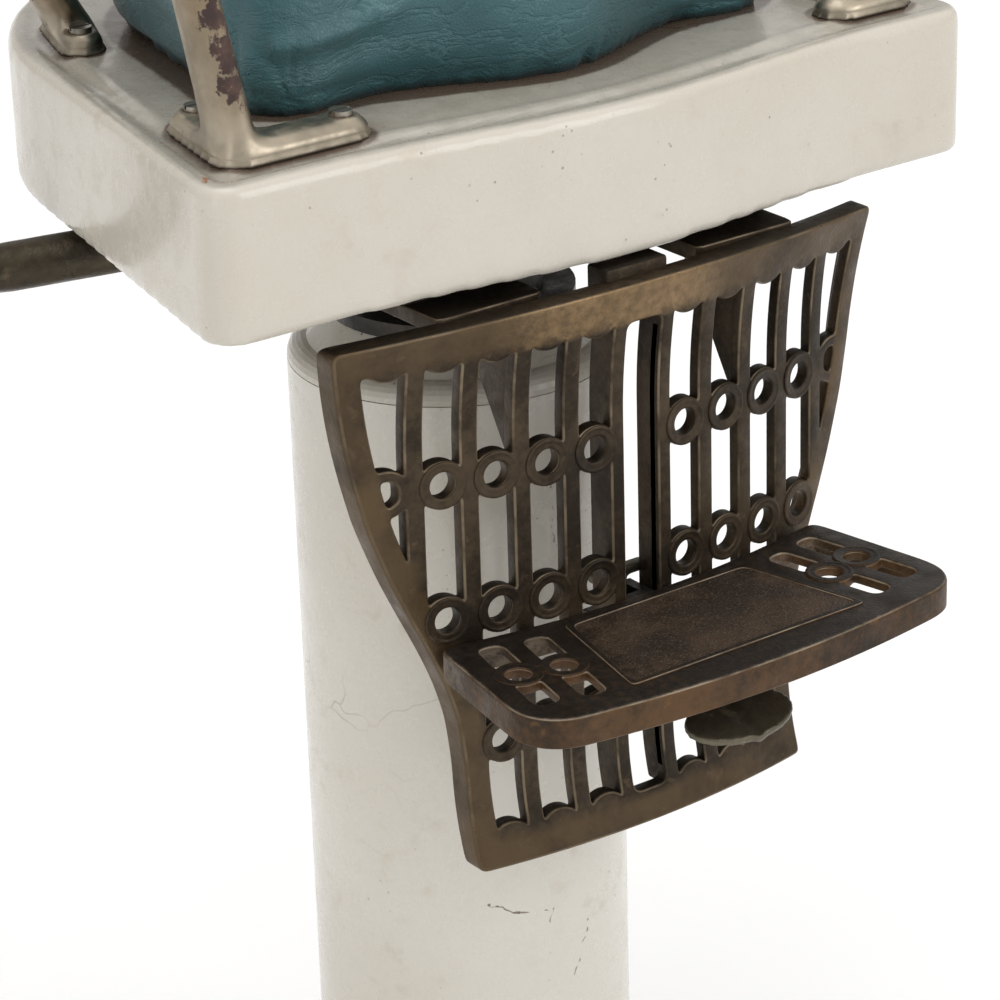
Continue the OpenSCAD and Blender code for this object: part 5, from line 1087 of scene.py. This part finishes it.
# %% [markdown]
# The arms are nickel-plated castings whose feet are screwed to the ledge. Copies of the exact solids with
# fine voxels keep their shape and ease every edge. The feet are eased much further, into a low crown, but
# not round their screws, which are found from the exact solids.
# %% Arms, lever and tab
def sole_stays(points):
    """Holds the underside of the feet flat on the ledge, and the seats of the arm pads."""
    return np.clip((683.0 - points[:, 2]) / 1.5, 0, 1) + (points[:, 2] > 868)


screw_tops = spots_of(frame["nodes"]["arm_screws"].data)
screw_tops = screw_tops[(screw_tops[:, 2] > 683) & (screw_tops[:, 2] < 720)]
apart, seen = 14, [screw_tops[0, :2]]
for spot in screw_tops[:, :2]:
    if min(np.linalg.norm(spot - other) for other in seen) > apart:
        seen.append(spot)
gaps = [np.linalg.norm(screw_tops[:, :2] - spot, axis=1) for spot in seen]
screw_spots = np.array([screw_tops[gap < apart, :2].mean(0) for gap in gaps])
print(len(screw_spots), "screws in the arm feet, tops at", round(float(screw_tops[:, 2].max()), 1))


def foot_crown(points):
    """Where the feet are eased into a low crown: below their posts, but not round a screw's recess."""
    off = np.min([np.linalg.norm(points[:, :2] - spot, axis=1) for spot in screw_spots], 0)
    return np.clip((706 - points[:, 2]) / 8, 0, 1) * np.clip((off - 7.0) / 4, 0, 1)


for side in ("left", "right"):
    softened_casting(side + "_arm", "seat", 1.5, 9, near=["seat_frame", "arm_screws"], reach=3.2,
                     hold=sole_stays, crown=foot_crown)
softened_casting("pump_lever", "pump_lever", 1.5, 3)


def creased_tab(points):
    """A shallow crease along the middle of the thumb tab."""
    points = points.copy()
    on_tab = np.clip((-196 - points[:, 1]) / 8, 0, 1)
    points[:, 2] -= on_tab * hump(points[:, 0], 0, 3.2) * 1.6
    return points


softened_casting("latch_lever", "latch", 1.1, 3, creased_tab, ["guide_shoe", "latch_pin"], 4.0)
# %% [markdown]
# A cushion is a bag of leathercloth pressed out by its stuffing. The exact solid gives the room that it
# has. A slightly smaller copy is blown up as cloth for twenty frames, no point may go far, and the flat
# underside is pressed back on its board. Folds too fine for the cloth are pushed in afterwards along the
# surface.
# %% Stuffed cushions
def as_drawn(points):
    return points


def stuffed(node, body, size, start, cap, folds, flat=as_drawn):
    """A cushion's cover: start mm smaller than its solid, then blown up by cap mm at most."""
    mesh = voxels(merged_copy(node), size)
    pairs = pairs_of(mesh)
    points = eased(spots_of(mesh), pairs, 2)
    put_spots(mesh, points)
    points = points - spots_of(mesh, "normal") * start
    put_spots(mesh, points)
    bag = bpy.data.objects.new("bag", mesh)
    bpy.context.scene.collection.objects.link(bag)
    cloth = bag.modifiers.new("cloth", "CLOTH")
    cloth.settings.quality = 5
    cloth.settings.use_pressure = True
    cloth.settings.uniform_pressure_force = 4
    cloth.settings.tension_stiffness = cloth.settings.compression_stiffness = 12
    cloth.settings.effector_weights.gravity = 0
    for step in range(1, 21):
        bpy.context.scene.frame_set(step)
    blown = bpy.data.meshes.new_from_object(bag.evaluated_get(bpy.context.evaluated_depsgraph_get()))
    moved = spots_of(blown) - points
    far = np.linalg.norm(moved, axis=1)
    print(node, "swelled by up to", round(float(far.max()), 1), "mm")
    points = points + moved * np.minimum(1, cap / np.maximum(far, 1e-9))[:, None]
    bpy.data.objects.remove(bag)
    bpy.context.scene.frame_set(1)
    points = eased(points, pairs, 2)
    put_spots(mesh, flat(points))
    mesh = run_modifier(mesh, "SUBSURF", {"levels": 1, "render_levels": 1})
    points = spots_of(mesh)
    points = flat(points + spots_of(mesh, "normal") * folds(points)[:, None])
    put_spots(mesh, points)
    # Closeness to the frame and arms, which the finish turns into grime and painted shade.
    neighbours = ["seat_frame", "left_arm", "right_arm"] if node == "seat_cushion" else []
    paint(mesh, "grime_and_shade", crowded(points, neighbours, 7.0))
    piece = finished(node + "_cover", mesh, body, slot_of[node], replaces=[node])
    return piece


def wander(points, scale, seed=0.0, stretch=(1, 1, 1)):
    """Smooth noise between -1 and 1 at each point, one wave about scale mm long."""
    stretch, start = np.array(stretch) / scale, Vector((seed, seed * 1.7, -seed))
    return np.array([noise.noise(Vector(p * stretch) + start) for p in points])


cushion_x, corner_x, corner_y, ledge_z = 5, 139, -72, 681


def seat_folds(points):
    """Stretch creases in the front corners, a tuck beside each arm post and a soft unevenness all over."""
    x, y, z = points.T
    depth = 0.9 * wander(points, 60, 3.0) + 0.35 * wander(points, 22, 8.0, (1, 1, 0.7))
    low = np.clip((745 - z) / 50, 0, 1) * np.clip((z - 684) / 8, 0, 1)
    for side in (-1, 1):
        away = points - (side * corner_x + cushion_x, corner_y, 690)
        reach = np.linalg.norm(away * (1, 1, 0.8), axis=1)
        turn = np.arctan2(away[:, 2], away[:, 1] * side + away[:, 0])
        rays = np.abs(np.sin(4.2 * turn + 0.9 * wander(points, 30, 5.0)))
        depth -= 2.1 * low * hump(reach, 0, 55) * (1 - rays) ** 2
        tuck = y + 48 + 0.12 * (z - 700) + 2.0 * wander(points, 40, 2.0)
        beside = (np.sign(x - cushion_x) == side) & (np.abs(x - cushion_x) > 118)
        depth += low * beside * (1.2 * hump(np.abs(tuck), 8, 6) - 3.4 * hump(tuck, 0, 3.6))
    front = (y < -66) * np.clip((760 - z) / 30, 0, 1)
    roll_z = 716 + 9 * np.clip((x + 140) / 90, 0, 1) + 2.0 * wander(points, 50, 12.0)
    roll = 4.2 * hump(z, roll_z, 5.0) - 3.4 * hump(z, roll_z - 12, 7)
    depth += front * hump(x, -118, 42) * roll
    pinch = x - 24 - 0.12 * (z - ledge_z)
    pleat = 1.9 * hump(pinch, 0, 2.4) - 1.6 * hump(np.abs(pinch), 5.5, 2.6)
    depth += front * hump(z, ledge_z, 11) * pleat
    return depth


def on_ledge(points):
    """The cushion's underside and lowest rim, pressed down on the ledge."""
    points = points.copy()
    points[:, 2] = np.where(points[:, 2] < 685.6, ledge_z + 0.15, points[:, 2])
    return points


stuffed("seat_cushion", "seat", 5.0, 1.0, 7.0, seat_folds, on_ledge)
# %% [markdown]
# The step is a dark iron plate with a deep skirt, a trapezoid plaque with a raised rim, and pierced ends
# whose slots continue the lines of the grille. It is drawn flat like the panel and laid level at its own
# height.
# %% Step
def step_outline(side, taper, front, bow, r, clearance=2.7):
    """The step's outline: bowed front, round corners, leaning ends and a back that follows the barrel."""
    s, c = math.sin(math.radians(taper)), math.cos(math.radians(taper))
    cy = r
    cx = (side - r - cy * s) / c
    u = np.linspace(-0.96, 0.96, 40)
    line = [np.stack([cx * u, -bow * (1 - u * u)], 1)]
    a = np.radians(np.linspace(-90, taper, 12))
    line.append(np.stack([cx + r * np.cos(a), cy + r * np.sin(a)], 1))
    back = front - (barrel_r - barrel_y) - clearance
    x = (side - (back + side ** 2 / (2 * barrel_r)) * s) / c * np.linspace(1, -1, 50)
    line.append(np.stack([x, back + x * x / (2 * barrel_r)], 1))
    a = np.radians(np.linspace(180 - taper, 270, 12))
    line.append(np.stack([-cx + r * np.cos(a), cy + r * np.sin(a)], 1))
    return np.vstack(line) - (0, front)


step_top, slot_half, slot_tip, bead_r = SEAM - 80, 6.2, 33, 11.6


def end_slot(x, y, side, far):
    """A slot that starts round a ring's bead and runs away from it, leaning with the step's side."""
    u = np.linspace(-slot_half, slot_half, 14)
    near = np.sqrt(np.maximum(bead_r ** 2 - u ** 2, 0))
    tip = slot_tip - 3.0 * (np.abs(u) / slot_half) ** 4
    line = np.vstack([np.stack([u, near * far], 1), np.stack([u[::-1], tip[::-1] * far], 1)])
    lean = math.radians(12 * side)
    leaning = line @ np.array([[math.cos(lean), math.sin(lean)], [-math.sin(lean), math.cos(lean)]])
    return softened(respaced(leaning + (x, y), 1.1), 3)


step_rings = [(side * x, y) for side in (-1, 1) for x, y in ((80, -193), (102, -187.5))]
step_windows = [circle(x, y, eye_r) for x, y in step_rings]
step_windows += [end_slot(x, y, math.copysign(1, x), far) for x, y in step_rings for far in (-1, 1)]
round_over = [(2.2 * (1 - math.sin(a)), 2.2 * (1 - math.cos(a))) for a in np.linspace(0, math.pi / 2, 5)]
skirt = round_over + [(0, 8.0), (0, 14.2), (0.8, 15), (3.7, 15), (4.5, 14.2), (4.5, 6.0), (5.3, 5)]
step_line = step_outline(side=129, taper=9, front=241, bow=9, r=24)
step_line = softened(respaced(step_line, 2.5), 10)
slot_edge = edge_profile(1.3, 5, 3, 0.7)
step_plate = pierced_plate(step_line, step_windows, skirt, slot_edge, flat_at(step_top), 5.0)
front_half, back_half, plaque_front, plaque_back, rim_rise = 70, 55, -230.5, -159.5, 0.9


def plaque(inset):
    """The plaque's outline, moved inwards."""
    corners = [(-front_half + inset, plaque_front + inset), (front_half - inset, plaque_front + inset),
               (back_half - inset, plaque_back - inset), (-back_half + inset, plaque_back - inset)]
    return softened(respaced(corners, 1.5), 5)


rim_edge = edge_profile(0.7, 1.6)
rim = pierced_plate(plaque(0), [plaque(3.2)], rim_edge, rim_edge, flat_at(step_top + rim_rise), 9.0)
web = block((-24, 24), (-163.7, -153.7), (step_top - 23.5, step_top - 2), 2.0)
casting("footplate_casting", [step_plate, rim, web], "step", "step_iron", replaces=["footplate"])
bead_spots = [(x, y, step_top) for x, y in step_rings]
upwards = [(0, 0, 1)] * len(bead_spots)
repeat("step_beads", turned_mesh("step_bead", bead), bead_spots, upwards, "step", "step_iron")
# %% [markdown]
# The plaque's field is a stippled ground, as a foundry leaves round raised words. The words themselves are
# left off this part, so the field is bare. Its dots are a cell pattern in the finish, one and a half
# millimetres apart.
# %% Plaque field
def stippled(name):
    f = Finish(name, Metallic=0.3, Specular_IOR_Level=0.3)
    dots = f.fade(f.cells(620.0, uneven=0.85), 0.10, 0.55, 1.0, 0.0)
    broad, fine = f.noise(30.0, 4), f.noise(240.0, 4, 0.6)
    color = f.mix(f.fade(broad, 0.4, 0.65), (0.026, 0.017, 0.011), (0.060, 0.037, 0.022))
    color = f.mix(f.times(dots, f.fade(fine, 0.35, 0.65, 0.1, 0.6)), color, (0.115, 0.082, 0.054))
    return f.done(color, f.fade(fine, 0.3, 0.7, 0.4, 0.62),
                  f.bump(dots, 0.0004, 0.9, f.bump(fine, 0.0003, 0.5)))


field_edge = edge_profile(0.2, 1.0, 1)
field = pierced_plate(plaque(3.0), [], field_edge, field_edge, flat_at(step_top + 0.3), 9.0)
casting("plaque_field", [field], "step", "step_iron", stippled("plaque_stipple"))
# %% [markdown]
# The back, the headrest and the arm pads are out of the picture, so they are dressed as the seat is: the
# same leathercloth, drawn over stuffing and closed by a welt, which is a cord sewn into the seam.
# %% Back, headrest and arm pads
lean = math.radians(8)
cos_lean, sin_lean, hinge = math.cos(lean), math.sin(lean), np.array([5.0, 217.0, 721.0])


def from_back(points):
    """Places in the back's own frame, which leans on its hinge, turned into the chair's frame."""
    x, y, z = points.T
    return np.stack([x, y * cos_lean + z * sin_lean, z * cos_lean - y * sin_lean], 1) + hinge


def to_back(points):
    """The other way: places in the chair turned into the back's own frame."""
    x, y, z = (points - hinge).T
    return np.stack([x, y * cos_lean - z * sin_lean, y * sin_lean + z * cos_lean], 1)


def welt(line, radius=2.2, sides=8):
    """A closed tube round a line of points, as (points, faces)."""
    ahead = np.roll(line, -1, 0) - np.roll(line, 1, 0)
    ahead /= np.linalg.norm(ahead, axis=1)[:, None]
    middle = line.mean(0)
    flat = np.linalg.svd(line - middle)[2][2]
    out = np.cross(ahead, flat)
    angles = np.arange(sides) * 2 * math.pi / sides
    verts = np.vstack([line + radius * (math.cos(a) * out + math.sin(a) * flat) for a in angles])
    n = len(line)
    faces = [(s * n + i, s * n + (i + 1) % n, (s + 1) % sides * n + (i + 1) % n, (s + 1) % sides * n + i)
             for s in range(sides) for i in range(n)]
    return verts, faces


def flat_behind(plane):
    """Keeps a cushion in front of the board that it is screwed to."""
    def press(points):
        local = to_back(points)
        local[:, 1] = np.minimum(local[:, 1], plane)
        return from_back(local)
    return press


def back_folds(points):
    """Creases that run out of the four corners, and a soft unevenness."""
    across, _, up_the_back = to_back(points).T
    depth = 0.7 * wander(points, 70, 4.0) + 0.3 * wander(points, 24, 6.0)
    for corner_across, corner_up in ((-112, 100), (112, 100), (-112, 300), (112, 300)):
        dx, dz = across - corner_across, up_the_back - corner_up
        rays = np.abs(np.sin(3.5 * np.arctan2(dz, dx) + wander(points, 40, 1.0))) ** 3
        depth -= 0.8 * hump(np.hypot(dx, dz), 0, 34) * rays
    return depth


def head_folds(points):
    return 0.5 * wander(points, 45, 7.0) + 0.2 * wander(points, 18, 2.0)


def pad_folds(points):
    return 0.35 * wander(points, 30, 9.0)


back_cover = stuffed("back_cushion", "back", 5.0, 1.0, 7.0, back_folds, flat_behind(-18.3))
head_cover = stuffed("headrest_cushion", "headrest", 3.5, 0.8, 4.0, head_folds)
for side in ("left", "right"):
    stuffed(side + "_arm_pad", "seat", 2.6, 0.5, 1.6, pad_folds)
# %% [markdown]
# A welt sits in the seam between the front of a cushion and its side. Its line starts as a rounded
# rectangle in the back's own frame, and every point is then moved to the nearest place on the finished
# cover.
# %% Welts round the cushions
def drawn_onto(line, cover):
    """A closed line moved to the nearest places on a cushion's cover, and eased."""
    tree = surface_of(cover.data)
    line = np.array([tree.find_nearest(Vector(p) / 1000)[0] for p in line]) * 1000
    return softened(line, 5)


def seam_line(half_width, half_height, r, y, low):
    """A rounded rectangle in the back's own frame, from low upwards, in the plane at y."""
    line = respaced(round_box(-half_width, half_width, low, low + 2 * half_height, r, 9), 3.0)
    return from_back(np.stack([line[:, 0], np.full(len(line), float(y)), line[:, 1]], 1))


back_seam = drawn_onto(seam_line(145.5, 130.5, 46, -22.5, 70.5), back_cover)
head_seam = drawn_onto(seam_line(91.5, 32.5, 25.5, -5.5, 361.5), head_cover)
casting("back_welt", [welt(back_seam)], "back", "vinyl_back")
casting("headrest_welt", [welt(head_seam, 1.8)], "headrest", "vinyl_back")
